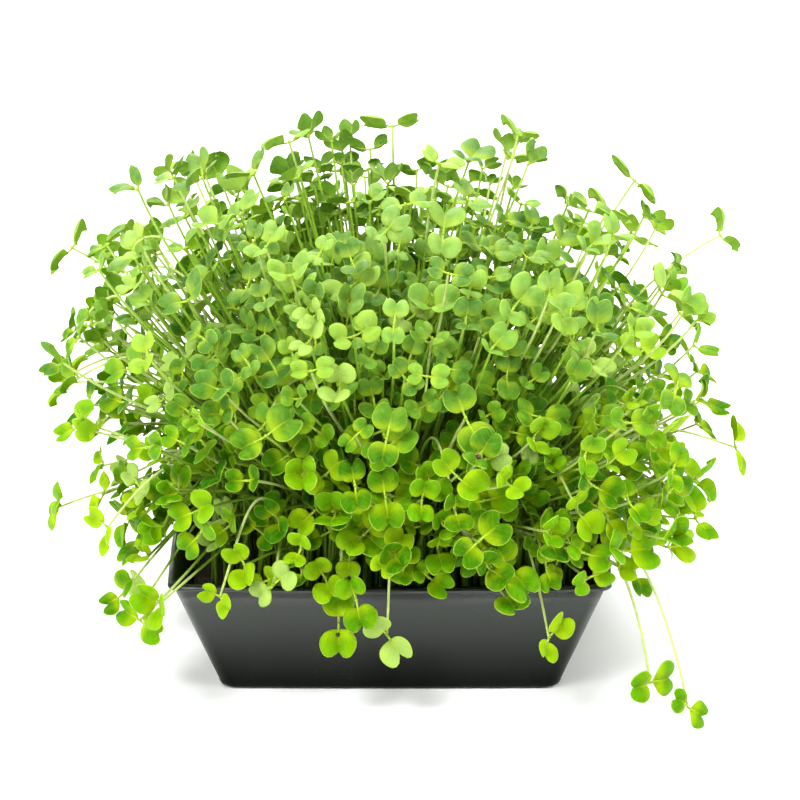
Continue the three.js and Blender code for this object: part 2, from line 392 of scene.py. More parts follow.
@dataclass(frozen=True)
class SowingRule:
    """How the crop is sown: the same rule, with the same draws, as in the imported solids."""

    tufts: int = 49
    root_reach: float = 52.0
    stem_ring: float = 1.3
    dome_half_x: float = 94.0
    dome_front: float = 82.0
    dome_back: float = 84.0
    dome_middle: float = 80.0
    dome_rise: float = 70.0
    dome_edge: float = math.radians(120)
    dome_squareness: float = 0.7
    dome_fullness: float = 0.4
    dome_taller_left: float = 0.09
    shells: tuple[tuple[float, int], ...] = ((1.0, 0), (0.86, 1), (0.7, -1))
    tip_wander: float = 7.0
    tries: int = 60
    turn_of_tip: float = 0.3
    turn_of_root: float = 2.1
    first_wander: float = 0.3
    seed: int = 2417
    edge_droop: float = 0.62
    lean_upright: float = math.radians(19)
    lean_hanging: float = math.radians(172)
    rise_share: float = 0.42
    end_share: float = 0.35
    arch: float = 48.0
    tilt: float = math.radians(16)
    tilt_at_edge: float = math.radians(34)
    tilt_of_droop: float = math.radians(36)
    tilt_chance: float = math.radians(24)
    opening: float = math.radians(4)
    opening_chance: float = math.radians(26)
    leaf_width: float = 11.0
    size_least: float = 0.82
    size_chance: float = 0.36
    stem_sunk: float = 1.0
    chord_steps: tuple[float, ...] = (0.0, 0.35, 0.7, 1.0)
    chord_samples: int = 11
    leaf_room: float = 0.52
    leaf_middle: float = 0.52
    stem_room: float = 1.5
    stray_root: float = 0.62
    stray_wander: float = 3.0
    stray_turn: float = 0.5
    strays: tuple[tuple[tuple[float, float, float], float], ...] = (
        ((74, -73, 14), 0.95),
        ((85, -80, 8), 0.95),
        ((-15, -73, 33), 0.9),
        ((0, -74, 30), 0.9),
        ((46, -76, 29), 0.9),
        ((-33, -79, 46), 0.7),
        ((-76, -70, 40), 0.7),
        ((104, -17, 64), 0.6),
        ((103, 28, 117), 0.3),
        ((38, 20, 152), 0),
        ((76, 34, 133), 0.1),
        ((-99, -30, 50), 0.6),
        ((-98, 2, 78), 0.5),
        ((-99, 30, 112), 0.3),
    )


@dataclass
class Room:
    """Balls that cover planted seedlings, for testing that others stand clear of them."""

    centres: np.ndarray = field(default_factory=lambda: np.zeros((0, 3)))
    radii: np.ndarray = field(default_factory=lambda: np.zeros(0))
    stems: np.ndarray = field(default_factory=lambda: np.zeros(0, dtype=bool))
    tufts: np.ndarray = field(default_factory=lambda: np.zeros(0, dtype=int))

    @classmethod
    def of(cls, centres: Sequence[np.ndarray], radius: float, is_stem: bool) -> "Room":
        """Makes balls of one size.

        Args:
            centres: their middles.
            radius: their radius.
            is_stem: whether they cover a stem.

        Returns:
            The balls, of no tuft in particular.
        """
        count = len(centres)
        stems = np.full(count, is_stem)
        return cls(np.array(centres), np.full(count, radius), stems, np.zeros(count, dtype=int))

    def joined(self, other: "Room") -> "Room":
        """Returns the balls of both."""
        return Room(*map(np.concatenate, zip(vars(self).values(), vars(other).values())))

    def clear_of(self, planted: "Room") -> bool:
        """Says whether these balls miss the planted ones, stems of one tuft apart.

        Args:
            planted: the balls of what already stands.

        Returns:
            Whether none of them touch.
        """
        gaps = self.centres[:, None, :] - planted.centres[None, :, :]
        reach = self.radii[:, None] + planted.radii[None, :]
        apart = np.einsum("abc,abc->ab", gaps, gaps) > reach * reach
        kin = (self.tufts[:, None] == planted.tufts[None, :]) & (
            self.stems[:, None] & planted.stems[None, :]
        )
        return bool(np.all(apart | kin))


class Crop:
    """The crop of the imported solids, sown again in its tufts."""

    def __init__(self, rule: SowingRule, shape: TrayShape) -> None:
        """Makes an empty tray.

        Args:
            rule: how the crop is sown.
            shape: the tray that it is sown in.
        """
        self.rule = rule
        self.shape = shape
        self.draws = Draws(rule.seed)
        self.planted = Room()
        self.tufts: list[list[Seedling]] = [[] for _ in range(rule.tufts)]

    def tuft_place(self, tuft: int) -> tuple[float, float]:
        """Returns how far round the dome a tuft lies, from 0 to 1, and its bearing."""
        return (tuft + 0.5) / self.rule.tufts, tuft * GOLDEN_ANGLE

    @staticmethod
    def square_stretch(bearing: float, squareness: float) -> float:
        """Returns what stretches a round plan towards a square one."""
        return max(abs(math.cos(bearing)), abs(math.sin(bearing))) ** -squareness

    def root_at(self, share: float, bearing: float) -> np.ndarray:
        """Returns the point of the soil under a place on the dome."""
        reach = self.rule.root_reach * math.sqrt(share) * self.square_stretch(bearing, 1)
        return np.array([reach * math.cos(bearing), reach * math.sin(bearing), self.shape.soil_top])

    def tuft_root(self, tuft: int) -> np.ndarray:
        """Returns the middle of a tuft's root plug."""
        return self.root_at(*self.tuft_place(tuft))

    def dome_point(self, share: float, bearing: float, depth: float) -> np.ndarray:
        """Works out a point of the foliage dome.

        Args:
            share: how far round the dome, from 0 at its top to 1 at its edge.
            bearing: its bearing.
            depth: 1 on the surface, less below it.

        Returns:
            The point.
        """
        rule = self.rule
        lift = 1 - share * (1 - math.cos(rule.dome_edge))
        around = (1 - lift * lift) ** rule.dome_fullness
        reach = depth * around * self.square_stretch(bearing, rule.dome_squareness)
        half_y = rule.dome_front if math.sin(bearing) < 0 else rule.dome_back
        x = rule.dome_half_x * reach * math.cos(bearing)
        y = half_y * reach * math.sin(bearing)
        z = rule.dome_middle + rule.dome_rise * lift * depth - rule.dome_taller_left * x
        return np.array([x, y, z])

    def stem_controls(self, root: np.ndarray, tip: np.ndarray, droop: float) -> np.ndarray:
        """Works out a stem's path, straight up out of the soil, then over to its tip.

        Args:
            root: where it leaves the soil.
            tip: where it ends.
            droop: 0 for an upright stem, 1 for one that hangs.

        Returns:
            The four control points of its curve.
        """
        rule = self.rule
        reach = float(np.linalg.norm(root - tip))
        out = unit(np.array([tip[0] - root[0], tip[1] - root[1], 0.0]))
        lean = lerp(rule.lean_upright, rule.lean_hanging, droop)
        end = UP * math.cos(lean) + out * math.sin(lean)
        start = root - UP * rule.stem_sunk
        rise = lerp(rule.rise_share * reach, rule.arch, droop)
        back = lerp(rule.end_share * reach, rule.arch, droop)
        return np.array([start, start + UP * rise, tip - end * back, tip])

    def lay_out(self, root: np.ndarray, tip: np.ndarray, droop: float, draws: Draws) -> Seedling:
        """Lays out a seedling as it would stand.

        Args:
            root: where its stem leaves the soil.
            tip: where its stem ends.
            droop: 0 for an upright stem, 1 for one that hangs.
            draws: where its chance values come from.

        Returns:
            The seedling.
        """
        rule = self.rule
        out = unit(np.array([tip[0], tip[1], 0.0]))
        spread = min(1.0, math.hypot(tip[0] / rule.dome_half_x, tip[1] / rule.dome_front))
        chance = rule.tilt_chance * (draws.next() - 0.5)
        tilt = rule.tilt + rule.tilt_at_edge * spread + rule.tilt_of_droop * droop + chance
        facing = UP * math.cos(tilt) + out * math.sin(tilt)
        along = turned(np.cross(UP, out), facing, (draws.next() - 0.5) * math.pi)
        opening = rule.opening + rule.opening_chance * draws.next()
        size = rule.leaf_width * (rule.size_least + rule.size_chance * draws.next())
        controls = self.stem_controls(root, tip, droop)
        return Seedling(controls, facing, along, opening, size, droop)

    def room_of(self, seedling: Seedling, tuft: int) -> Room:
        """Covers a seedling with balls.

        Args:
            seedling: the seedling.
            tuft: the number of its tuft.

        Returns:
            The balls.
        """
        rule = self.rule
        centres = [
            seedling.tip + seedling.leaf_frame(side)[0] * rule.leaf_middle * seedling.size
            for side in (1, -1)
        ]
        radii = [rule.leaf_room * seedling.size] * 2
        path = seedling.stem_points(np.array(rule.chord_steps))
        for low, high in zip(path[:-1], path[1:]):
            for k in range(rule.chord_samples):
                centres.append(low + (high - low) * (k / rule.chord_samples))
                radii.append(rule.stem_room)
        stems = np.arange(len(radii)) >= 2
        return Room(np.array(centres), np.array(radii), stems, np.full(len(radii), tuft))

    def clear_of_tray(self, room: Room) -> bool:
        """Says whether balls stand clear of the tray's wall and of what it stands on.

        Args:
            room: the balls.

        Returns:
            Whether all of them are clear.
        """
        shape = self.shape
        wide = np.abs(room.centres[:, :2]).max(axis=1)
        z = room.centres[:, 2]
        half = shape.outer_half(z)
        inside = wide + room.radii < half - shape.wall - shape.rim_bow
        over_floor = z > np.where(room.stems, room.radii, room.radii / 2)
        outside = (wide - room.radii > half + shape.lip_out) & over_floor
        return bool(np.all((z - room.radii > shape.height) | inside | outside))

    def plant_near(self, tuft: int, turn: float, tip: np.ndarray, wander: float, droop: float) -> None:
        """Tries stances near a tip until one stands clear, and plants that one.

        Args:
            tuft: the number of the tuft that it grows in.
            turn: which way round the tuft its root lies.
            tip: where its stem should end.
            wander: how far from there the tries go.
            droop: 0 for an upright stem, 1 for one that hangs.
        """
        rule, draws = self.rule, self.draws
        bearing = self.tuft_place(tuft)[1] + rule.turn_of_root * turn
        offset = np.array([math.cos(bearing), math.sin(bearing), 0.0]) * rule.stem_ring
        root = self.tuft_root(tuft) + offset
        for k in range(rule.tries):
            grow = rule.first_wander + k / rule.tries
            shift = [wander * 2 * (draws.next() - 0.5) * grow for _ in range(3)]
            seedling = self.lay_out(root, tip + np.array(shift), droop, draws)
            room = self.room_of(seedling, tuft)
            if self.clear_of_tray(room) and room.clear_of(self.planted):
                self.planted = self.planted.joined(room)
                self.tufts[tuft].append(seedling)
                return

    def tuft_under(self, tip: np.ndarray) -> int:
        """Finds the tuft whose root lies under a stray's tip, drawn in to the middle.

        Args:
            tip: where the stray's stem ends.

        Returns:
            The number of the tuft.
        """
        under = tip * self.rule.stray_root
        under[2] = self.shape.soil_top
        gaps = [np.linalg.norm(self.tuft_root(k) - under) for k in range(self.rule.tufts)]
        return int(np.argmin(gaps))

    def sow(self) -> None:
        """Sows the tufts: the strays first, then each shell of the dome from outside in."""
        rule = self.rule
        for at, droop in rule.strays:
            tip = np.array(at, dtype=float)
            self.plant_near(self.tuft_under(tip), rule.stray_turn, tip, rule.stray_wander, droop)
        for depth, turn in rule.shells:
            for tuft in range(rule.tufts):
                share, bearing = self.tuft_place(tuft)
                tip = self.dome_point(share, bearing + rule.turn_of_tip * turn, depth)
                self.plant_near(tuft, turn, tip, rule.tip_wander, rule.edge_droop * share**2)


@dataclass(frozen=True)
class FillingRule:
    """How finer seedlings are sown between the tufts."""

    count: int = 1500
    rim_count: int = 114
    rim_to_corners: float = 0.08
    arching_count: int = 24
    seed: int = 90173
    tries: int = 26
    crowding: float = 0.97
    open_side: float = 0.66
    open_share: float = 0.6
    tall_share: float = 0.1
    tallest: float = 1.12
    shallowest: float = 0.94
    deepest: float = 0.42
    depth_bias: float = 1.1
    low_share: float = 0.02
    root_reach: float = 53.0
    root_wander: float = 9.0
    wander: float = 5.0
    leaf_room: float = 0.26
    stem_room: float = 0.7
    stem_balls: int = 18
    stem_end: float = 0.96
    sizes: Span = (0.76, 1.08)
    small: float = 0.88
    small_above: float = 75.0
    small_fade: float = 30.0
    folded_up: float = math.radians(46)
    folded_power: float = 1.5
    tallest_at_edge: float = 0.98
    share_wander: Span = (-0.04, 0.04)
    between_turn: float = 1.0
    rim_reach: Span = (60.0, 77.0)
    rim_height: Span = (34.0, 62.0)
    rim_droop: Span = (0.3, 0.85)
    rim_root: float = 50.0
    arching_turn: float = 0.4
    arching_wander: Span = (-0.3, 0.3)
    arching_share: Span = (0.45, 0.95)
    arching_depth: Span = (0.9, 1.02)
    arching_droop: Span = (0.62, 0.86)
    arching_root: Span = (0.42, 0.7)


class Filling:
    """The seedlings that stand between the tufts."""

    def __init__(self, crop: Crop, rule: FillingRule) -> None:
        """Starts with no seedling.

        Args:
            crop: the sown tufts.
            rule: how the seedlings between them are sown.
        """
        self.crop = crop
        self.rule = rule
        self.draws = Draws(rule.seed)
        self.seedlings: list[Seedling] = []
        self.leaves = Room()
        self.stems = Room()

    def room_of(self, seedling: Seedling) -> tuple[Room, Room]:
        """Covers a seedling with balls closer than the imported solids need.

        Args:
            seedling: the seedling.

        Returns:
            The balls of its leaves, and those of its stem.
        """
        rule = self.rule
        middle = self.crop.rule.leaf_middle * seedling.size
        centres = [seedling.tip + seedling.leaf_frame(side)[0] * middle for side in (1, -1)]
        leaves = Room.of(centres, rule.leaf_room * seedling.size, is_stem=False)
        path = seedling.stem_points(np.linspace(0, rule.stem_end, rule.stem_balls))
        return leaves, Room.of(path, rule.stem_room, is_stem=True)

    def keep(self, leaves: Room, stem: Room) -> None:
        """Adds the balls of one more seedling."""
        self.leaves = self.leaves.joined(leaves)
        self.stems = self.stems.joined(stem)

    def try_seedling(self, root: np.ndarray, tip: np.ndarray, droop: float) -> bool:
        """Plants one seedling if it stands clear of the others and of the tray.

        Args:
            root: where its stem leaves the soil.
            tip: where its stem ends.
            droop: 0 for an upright stem, 1 for one that hangs.

        Returns:
            Whether it was planted.
        """
        crop, rule, draws = self.crop, self.rule, self.draws
        seedling = crop.lay_out(root, tip, droop, draws)
        high = clamped((tip[2] - rule.small_above) / rule.small_fade)
        seedling.size *= draws.between(*rule.sizes) * lerp(1, rule.small, high)
        seedling.opening += rule.folded_up * draws.next() ** rule.folded_power
        leaves, stem = self.room_of(seedling)
        if not (leaves.clear_of(self.leaves) and crop.clear_of_tray(leaves)):
            return False
        if not (leaves.clear_of(self.stems) and stem.clear_of(self.leaves)):
            return False
        if not crop.clear_of_tray(stem):
            return False
        self.keep(leaves, stem)
        self.seedlings.append(seedling)
        return True

    def root_near(self, x: float, y: float) -> np.ndarray:
        """Draws a root at about a place, kept inside the tray.

        Args:
            x: the place, to the right.
            y: the place, to the back.

        Returns:
            The root.
        """
        rule, draws = self.rule, self.draws
        root = np.array([x, y, self.crop.shape.soil_top])
        root[0] += rule.root_wander * (draws.next() - 0.5)
        root[1] += rule.root_wander * (draws.next() - 0.5)
        root[:2] = np.clip(root[:2], -rule.root_reach, rule.root_reach)
        return root

    def sow_rim(self) -> None:
        """Sows the seedlings that lean over the rim, close together all round it."""
        crop, rule, draws = self.crop, self.rule, self.draws
        for number in range(rule.rim_count):
            bearing = 2 * math.pi * number / rule.rim_count
            bearing += rule.rim_to_corners * math.sin(4 * bearing)
            stretch = crop.square_stretch(bearing, 1)
            aim = np.array([math.cos(bearing), math.sin(bearing)]) * stretch
            for _ in range(rule.tries):
                reach = draws.between(*rule.rim_reach)
                height = draws.between(*rule.rim_height)
                sideways = draws.between(-rule.wander, rule.wander)
                tip = np.array([*(aim * reach), height])
                tip[:2] += np.array([-aim[1], aim[0]]) * sideways / stretch
                root = self.root_near(*(aim * rule.rim_root))
                if self.try_seedling(root, tip, draws.between(*rule.rim_droop)):
                    break

    def sow_between(self) -> None:
        """Sows the seedlings of the dome, most of them near its surface."""
        crop, rule, draws = self.crop, self.rule, self.draws
        for number in range(rule.count):
            base = lerp(rule.low_share, 1, ((number + 0.5) / rule.count) ** rule.crowding)
            bearing = number * GOLDEN_ANGLE + rule.between_turn
            if abs(math.cos(bearing)) > rule.open_side and draws.next() < rule.open_share:
                continue
            hidden = draws.next() ** rule.depth_bias
            depth = lerp(rule.shallowest, rule.deepest, hidden)
            if draws.next() < rule.tall_share:
                tallest = lerp(rule.tallest, rule.tallest_at_edge, base)
                depth = draws.between(rule.shallowest, tallest)
            for k in range(rule.tries):
                share = clamped(base + draws.between(*rule.share_wander))
                reach = rule.root_reach / crop.rule.root_reach
                root = self.root_near(*(crop.root_at(share, bearing)[:2] * reach))
                grow = rule.wander * (1 + k / rule.tries)
                shift = np.array([draws.between(-grow, grow) for _ in range(3)])
                tip = crop.dome_point(share, bearing, depth) + shift
                if self.try_seedling(root, tip, crop.rule.edge_droop * share**2):
                    break

    def sow_arching(self) -> None:
        """Sows the weak seedlings whose pale stems arch out over the others."""
        crop, rule, draws = self.crop, self.rule, self.draws
        for number in range(rule.arching_count):
            bearing = number * GOLDEN_ANGLE + rule.arching_turn
            for _ in range(rule.tries):
                share = draws.between(*rule.arching_share)
                turn = bearing + draws.between(*rule.arching_wander)
                tip = crop.dome_point(share, turn, draws.between(*rule.arching_depth))
                root = self.root_near(*(tip[:2] * draws.between(*rule.arching_root)))
                if self.try_seedling(root, tip, draws.between(*rule.arching_droop)):
                    break

    def sow(self) -> None:
        """Sows all the seedlings that stand between the tufts."""
        for tuft in self.crop.tufts:
            for seedling in tuft:
                self.keep(*self.room_of(seedling))
        self.sow_rim()
        self.sow_arching()
        self.sow_between()


@dataclass(frozen=True)
class LeafShape:
    """A seed leaf: a heart-shaped blade, notched at its tip, on a stalk.

    Lengths are in leaf widths, and thicknesses in millimetres.
    """

    middle: float = 0.53
    round_mean: float = 0.435
    round_long: float = 0.03
    round_wide: float = -0.062
    notch: Span = (0.15, 0.3)
    notch_turn: float = math.radians(19)
    lobe: float = 0.048
    lobe_at: float = math.radians(40)
    lobe_turn: float = math.radians(22)
    around: int = 32
    rings: tuple[float, ...] = (0.3, 0.56, 0.78, 0.93, 1.0)
    thickness: float = 0.34
    fold: Span = (0.05, 0.7)
    bend: Span = (-0.25, 0.6)
    bend_from: float = 0.2
    curl: Span = (0.0, 0.3)
    puff: Span = (0.03, 0.13)
    lopsided: Span = (-0.07, 0.07)
    longer: Span = (0.94, 1.08)
    crease: float = 0.04
    wave: float = 0.02
    waves: int = 3
    larger: float = 0.91
    smaller: float = 0.8
    stalk_end: float = 0.66
    stalk_sides: int = 6
    stalk_rings: tuple[float, ...] = (0.0, 0.1, 0.2, 0.3, 0.4, 0.52, 0.66)
    stalk_thick: float = 0.38
    stalk_thin: float = 0.1
    stalk_below: float = 0.6
    stalk_greens: float = 0.4


@dataclass(frozen=True)
class StemShape:
    """A seedling's stem, in millimetres."""

    foot_radius: float = 0.55
    top_radius: float = 0.36
    sides: int = 8
    rings: int = 26
    wobble: float = 1.0
    swings: Span = (3.0, 8.0)
    swing_start: Span = (0.0, 6.0)
    bud: tuple[tuple[float, float], ...] = ((0.3, 0.44), (0.6, 0.38), (0.85, 0.18))
    bud_share: float = 1.1


@dataclass(frozen=True)
class ToneRule:
    """How leaf and stem tones follow their place in the crop, from 0 dark to 1 bright, with painted
    light low down and in the open and painted shade inside the crop.
    """

    low: float = 35.0
    top: float = 150.0
    core: tuple[float, float, float] = (0.0, 0.0, 66.0)
    reach: tuple[float, float, float] = (92.0, 82.0, 80.0)
    chance: float = 0.58
    chance_low: float = 0.24
    chance_power: float = 1.5
    # Painted light: lower pairs are made brighter. Painted shade: pairs inside the crop are made
    # darker.
    low_painted_light: float = 0.2
    inside_painted_shade: float = 0.7
    brightest: float = 0.95
    pale_share: float = 0.05
    pale_tone: float = 1.3
    leaf_chance: Span = (0.0, 0.1)
    stem_chance: Span = (-0.1, 1.0)
    # Painted shade on the stems inside the crop, and painted light on those in the open.
    shade_from: float = 0.9
    shade_fade: float = 0.3
    shade_of_pale: float = 0.5
    painted_shade_tone: float = 1.3
    open_from: float = 68.0
    pale_from: float = 0.93
    pale_fade: float = 0.15
    pale_most: float = 0.85

    def out(self, points: np.ndarray) -> np.ndarray:
        """Returns how far out of the crop's core points lie, 1 at its outside."""
        return np.linalg.norm((points - np.array(self.core)) / np.array(self.reach), axis=-1)

    def leaf_tone(self, tip: np.ndarray, draws: Draws) -> float:
        """Draws the tone of a pair of leaves: a random tone, with painted light on lower pairs and
        painted shade on pairs inside the crop.

        Args:
            tip: where their stem ends.
            draws: where the chance values come from.

        Returns:
            The tone, or the tone of a pale pair.
        """
        lower = clamped((self.top - tip[2]) / (self.top - self.low))
        inner = clamped(1 - float(self.out(tip)))
        tone = (self.chance + self.chance_low * lower) * draws.next() ** self.chance_power
        # Painted light low down and painted shade inside the crop.
        tone += self.low_painted_light * lower - self.inside_painted_shade * inner
        tone = clamped(tone, self.brightest)
        return self.pale_tone if draws.next() < self.pale_share else tone

    def stem_tones(self, centres: np.ndarray, tone: float) -> np.ndarray:
        """Works out the tones along a stem: painted light makes it pale in the open, and painted shade
        makes it deep inside the crop.

        Args:
            centres: the middle of each of its rings.
            tone: the stem's own tone.

        Returns:
            The tone of each ring.
        """
        out = np.maximum(self.out(centres), np.abs(centres[:, :2]).max(axis=1) / self.open_from)
        # Painted shade: stem rings deep inside the crop take the deep tone.
        inside = np.clip((self.shade_from - out) / self.shade_fade, 0, 1)
        inside *= self.shade_of_pale if tone <= 0 else 1.0
        # Painted light: stem rings out in the open turn pale.
        painted_open_light = np.clip((out - self.pale_from) / self.pale_fade, 0, 1)
        return lerp(tone * (1 - self.pale_most * painted_open_light), self.painted_shade_tone, inside)


class SeedlingMaker:
    """Builds fine seedlings on the stances that the sowing gives."""

    LEAF_SLOT = 0
    STEM_SLOT = 1

    def __init__(self, leaf: LeafShape, stem: StemShape, tones: ToneRule, seed: int) -> None:
        """Cuts the leaf pattern that all the blades start from.

        Args:
            leaf: the blade's sizes.
            stem: the stem's sizes.
            tones: how light and shade are spread over the crop.
            seed: the seed of the small differences between leaves.
        """
        self.leaf = leaf
        self.stem = stem
        self.tones = tones
        self.draws = Draws(seed)
        turns = turns_round(leaf.around)
        from_tip = np.minimum(turns, 2 * math.pi - turns)
        reach = leaf.round_mean + leaf.round_long * np.cos(turns)
        reach += leaf.round_wide * np.cos(2 * turns)
        reach += leaf.lobe * np.exp(-(((from_tip - leaf.lobe_at) / leaf.lobe_turn) ** 2))
        notch = np.exp(-((from_tip / leaf.notch_turn) ** 2))
        rings = np.array(leaf.rings)
        self.ring = np.concatenate([[0.0], np.repeat(rings, leaf.around)])
        self.turn = np.concatenate([[0.0], np.tile(turns, len(rings))])
        self.reach = np.concatenate([[0.0], np.tile(reach, len(rings))]) * self.ring
        self.notch = np.concatenate([[0.0], np.tile(notch, len(rings))]) * self.ring
        self.top_faces, self.under_faces = self.blade_faces()

    def blade_faces(self) -> tuple[list[tuple[int, ...]], list[tuple[int, ...]]]:
        """Lists the faces of a blade's top, and those of its underside.

        Returns:
            The faces of the top, and of the underside, which share the points of the rim.
        """
        around, rings = self.leaf.around, len(self.leaf.rings)
        rim_first = 1 + (rings - 1) * around
        below = rim_first + around
        top, under = [], []

        def lower(point: int) -> int:
            """Returns the underside's number for a point of the top."""
            return point if point >= rim_first else below + point

        for k in range(around):
            after = (k + 1) % around
            top.append((0, 1 + k, 1 + after))
            for ring in range(rings - 1):
                first = 1 + ring * around
                top.append((first + k, first + around + k, first + around + after, first + after))
        for face in flipped(top):
            under.append(tuple(lower(point) for point in face))
        return top, under

    def add_leaf(self, skin: Skin, seedling: Seedling, side: int, tone: float) -> None:
        """Adds one blade with its stalk.

        Args:
            skin: what it is added to.
            seedling: the seedling.
            side: 1 for the first leaf, -1 for the other.
            tone: the leaf's tone from 0 to 1, with painted light and shade from its place in the crop.
        """
        leaf, draws = self.leaf, self.draws
        axis, face = seedling.leaf_frame(side)
        across = seedling.across * side
        chances = (leaf.fold, leaf.bend, leaf.curl, leaf.puff, leaf.lopsided, leaf.longer)
        fold, bend, curl, puff, lopsided, longer = (draws.between(*span) for span in chances)
        phase = draws.between(0, 2 * math.pi)

        def height(along: np.ndarray, wide: np.ndarray) -> np.ndarray:
            """Works out how far the blade's middle skin lies off its plane.

            Args:
                along: the places along the blade, in leaf widths.
                wide: the places across it.

            Returns:
                The distance at each place, in leaf widths.
            """
            crease = np.sqrt(wide**2 + leaf.crease**2) - leaf.crease
            swell = np.sin(math.pi * np.minimum(1, np.abs(wide) * 2)) * puff
            return crease * fold + swell - bend * np.maximum(along - leaf.bend_from, 0) ** 2

        reach = self.reach * (1 + lopsided * np.sin(self.turn))
        reach -= self.notch * draws.between(*leaf.notch)
        along = leaf.middle + reach * np.cos(self.turn) * longer
        wide = reach * np.sin(self.turn)
        lift = height(along, wide) - curl * self.ring**4 * 0.5
        lift += leaf.wave * self.ring**2 * np.sin(leaf.waves * self.turn + phase)
        size = seedling.size * (leaf.larger if side > 0 else leaf.smaller)
        middle = (
            seedling.tip
            + axis * (along * size)[:, None]
            + across * (wide * size)[:, None]
            + face * (lift * size)[:, None]
        )
        half = leaf.thickness / 2 * (1 - self.ring**3)
        rim_first = len(middle) - leaf.around
        top = middle + face * half[:, None]
        under = (middle - face * half[:, None])[:rim_first]
        points = np.concatenate([top, under])
        blade = np.stack([wide, along], axis=1)
        blade = np.concatenate([blade, blade[:rim_first]])
        tones = np.stack([np.full(len(top), tone), self.ring], axis=1)
        below = tones[:rim_first] + np.array([0.0, UNDERSIDE])
        faces = self.top_faces + self.under_faces
        if side * np.dot(np.cross(axis, across), face) < 0:
            faces = flipped(faces)
        skin.add(points, faces, self.LEAF_SLOT, blade, np.concatenate([tones, below]))
        self.add_stalk(skin, seedling.tip, size, axis, across, face, height, tone)

    def add_stalk(
        self,
        skin: Skin,
        tip: np.ndarray,
        size: float,
        axis: np.ndarray,
        across: np.ndarray,
        face: np.ndarray,
        height: Callable[[np.ndarray, np.ndarray], np.ndarray],
        tone: float,
    ) -> None:
        """Adds a leaf's stalk, which runs on under the blade as its rib.

        Args:
            skin: what it is added to.
            tip: where the stem ends.
            size: the leaf's width.
            axis: the direction from stalk to tip.
            across: the direction across the blade.
            face: the way that the blade looks.
            height: how far the blade's middle skin lies off its plane.
            tone: the leaf's tone, with painted light and shade from its place in the crop.
        """
        leaf = self.leaf
        along = np.array(leaf.stalk_rings)
        run = along / leaf.stalk_end
        radius = lerp(leaf.stalk_thick, leaf.stalk_thin, run)
        lift = height(along, np.zeros(len(along))) * size
        lift -= leaf.stalk_below * radius * np.minimum(1, along * 3)
        centre = tip + axis * (along * size)[:, None] + face * lift[:, None]
        turns = turns_round(leaf.stalk_sides)
        ring = across * np.cos(turns)[:, None] + face * np.sin(turns)[:, None]
        faces = ring_faces(len(along), leaf.stalk_sides)
        if np.dot(np.cross(across, face), axis) < 0:
            faces = flipped(faces)
        share = np.repeat(1 + run * leaf.stalk_greens, leaf.stalk_sides)
        place = np.stack([share, share], axis=1)
        tones = np.stack([np.full(len(share), tone), share], axis=1)
        skin.add(tube_points(centre, ring, radius), faces, self.STEM_SLOT, place, tones)

    def add_stem(self, skin: Skin, seedling: Seedling, tone: float) -> None:
        """Adds a seedling's stem.

        Args:
            skin: what it is added to.
            seedling: the seedling.
            tone: the stem's own tone.
        """
        stem, draws = self.stem, self.draws
        steps = np.linspace(0, 1, stem.rings)
        tangents = seedling.stem_tangents(steps)
        side = unit(np.cross(UP, seedling.controls[3] - seedling.controls[0]))
        front = np.cross(tangents, side)
        centre = seedling.stem_points(steps)
        for way in (side[None, :], front):
            swing = np.sin(steps * draws.between(*stem.swings) + draws.between(*stem.swing_start))
            centre = centre + way * (stem.wobble * np.sin(steps * math.pi) * swing)[:, None]
        radius = lerp(stem.foot_radius, stem.top_radius, steps)
        turns = turns_round(stem.sides)[None, :, None]
        ring = side * np.cos(turns) + front[:, None, :] * np.sin(turns)
        bud = np.array(stem.bud)
        centre = np.concatenate([centre, seedling.tip + seedling.facing * bud[:, :1]])
        radius = np.concatenate([radius, bud[:, 1]])
        ring = np.concatenate([ring, np.repeat(ring[-1:], len(bud), axis=0)])
        steps = np.concatenate([steps, np.full(len(bud), stem.bud_share)])
        share = np.repeat(steps, stem.sides)
        place = np.stack([share, share], axis=1)
        shaded = np.repeat(self.tones.stem_tones(centre, tone), stem.sides)
        tones = np.stack([shaded, share], axis=1)
        faces = ring_faces(len(centre), stem.sides)
        if np.dot(np.cross(side, front[0]), tangents[0]) < 0:
            faces = flipped(faces)
        skin.add(tube_points(centre, ring, radius), faces, self.STEM_SLOT, place, tones)

    def add(self, skin: Skin, seedling: Seedling) -> None:
        """Adds a whole seedling.

        Args:
            skin: what it is added to.
            seedling: the seedling.
        """
        rule, draws = self.tones, self.draws
        tone = rule.leaf_tone(seedling.tip, draws)
        self.add_stem(skin, seedling, draws.between(*rule.stem_chance) * (1 - seedling.droop**2))
        for side in (1, -1):
            self.add_leaf(skin, seedling, side, tone + draws.between(*rule.leaf_chance))


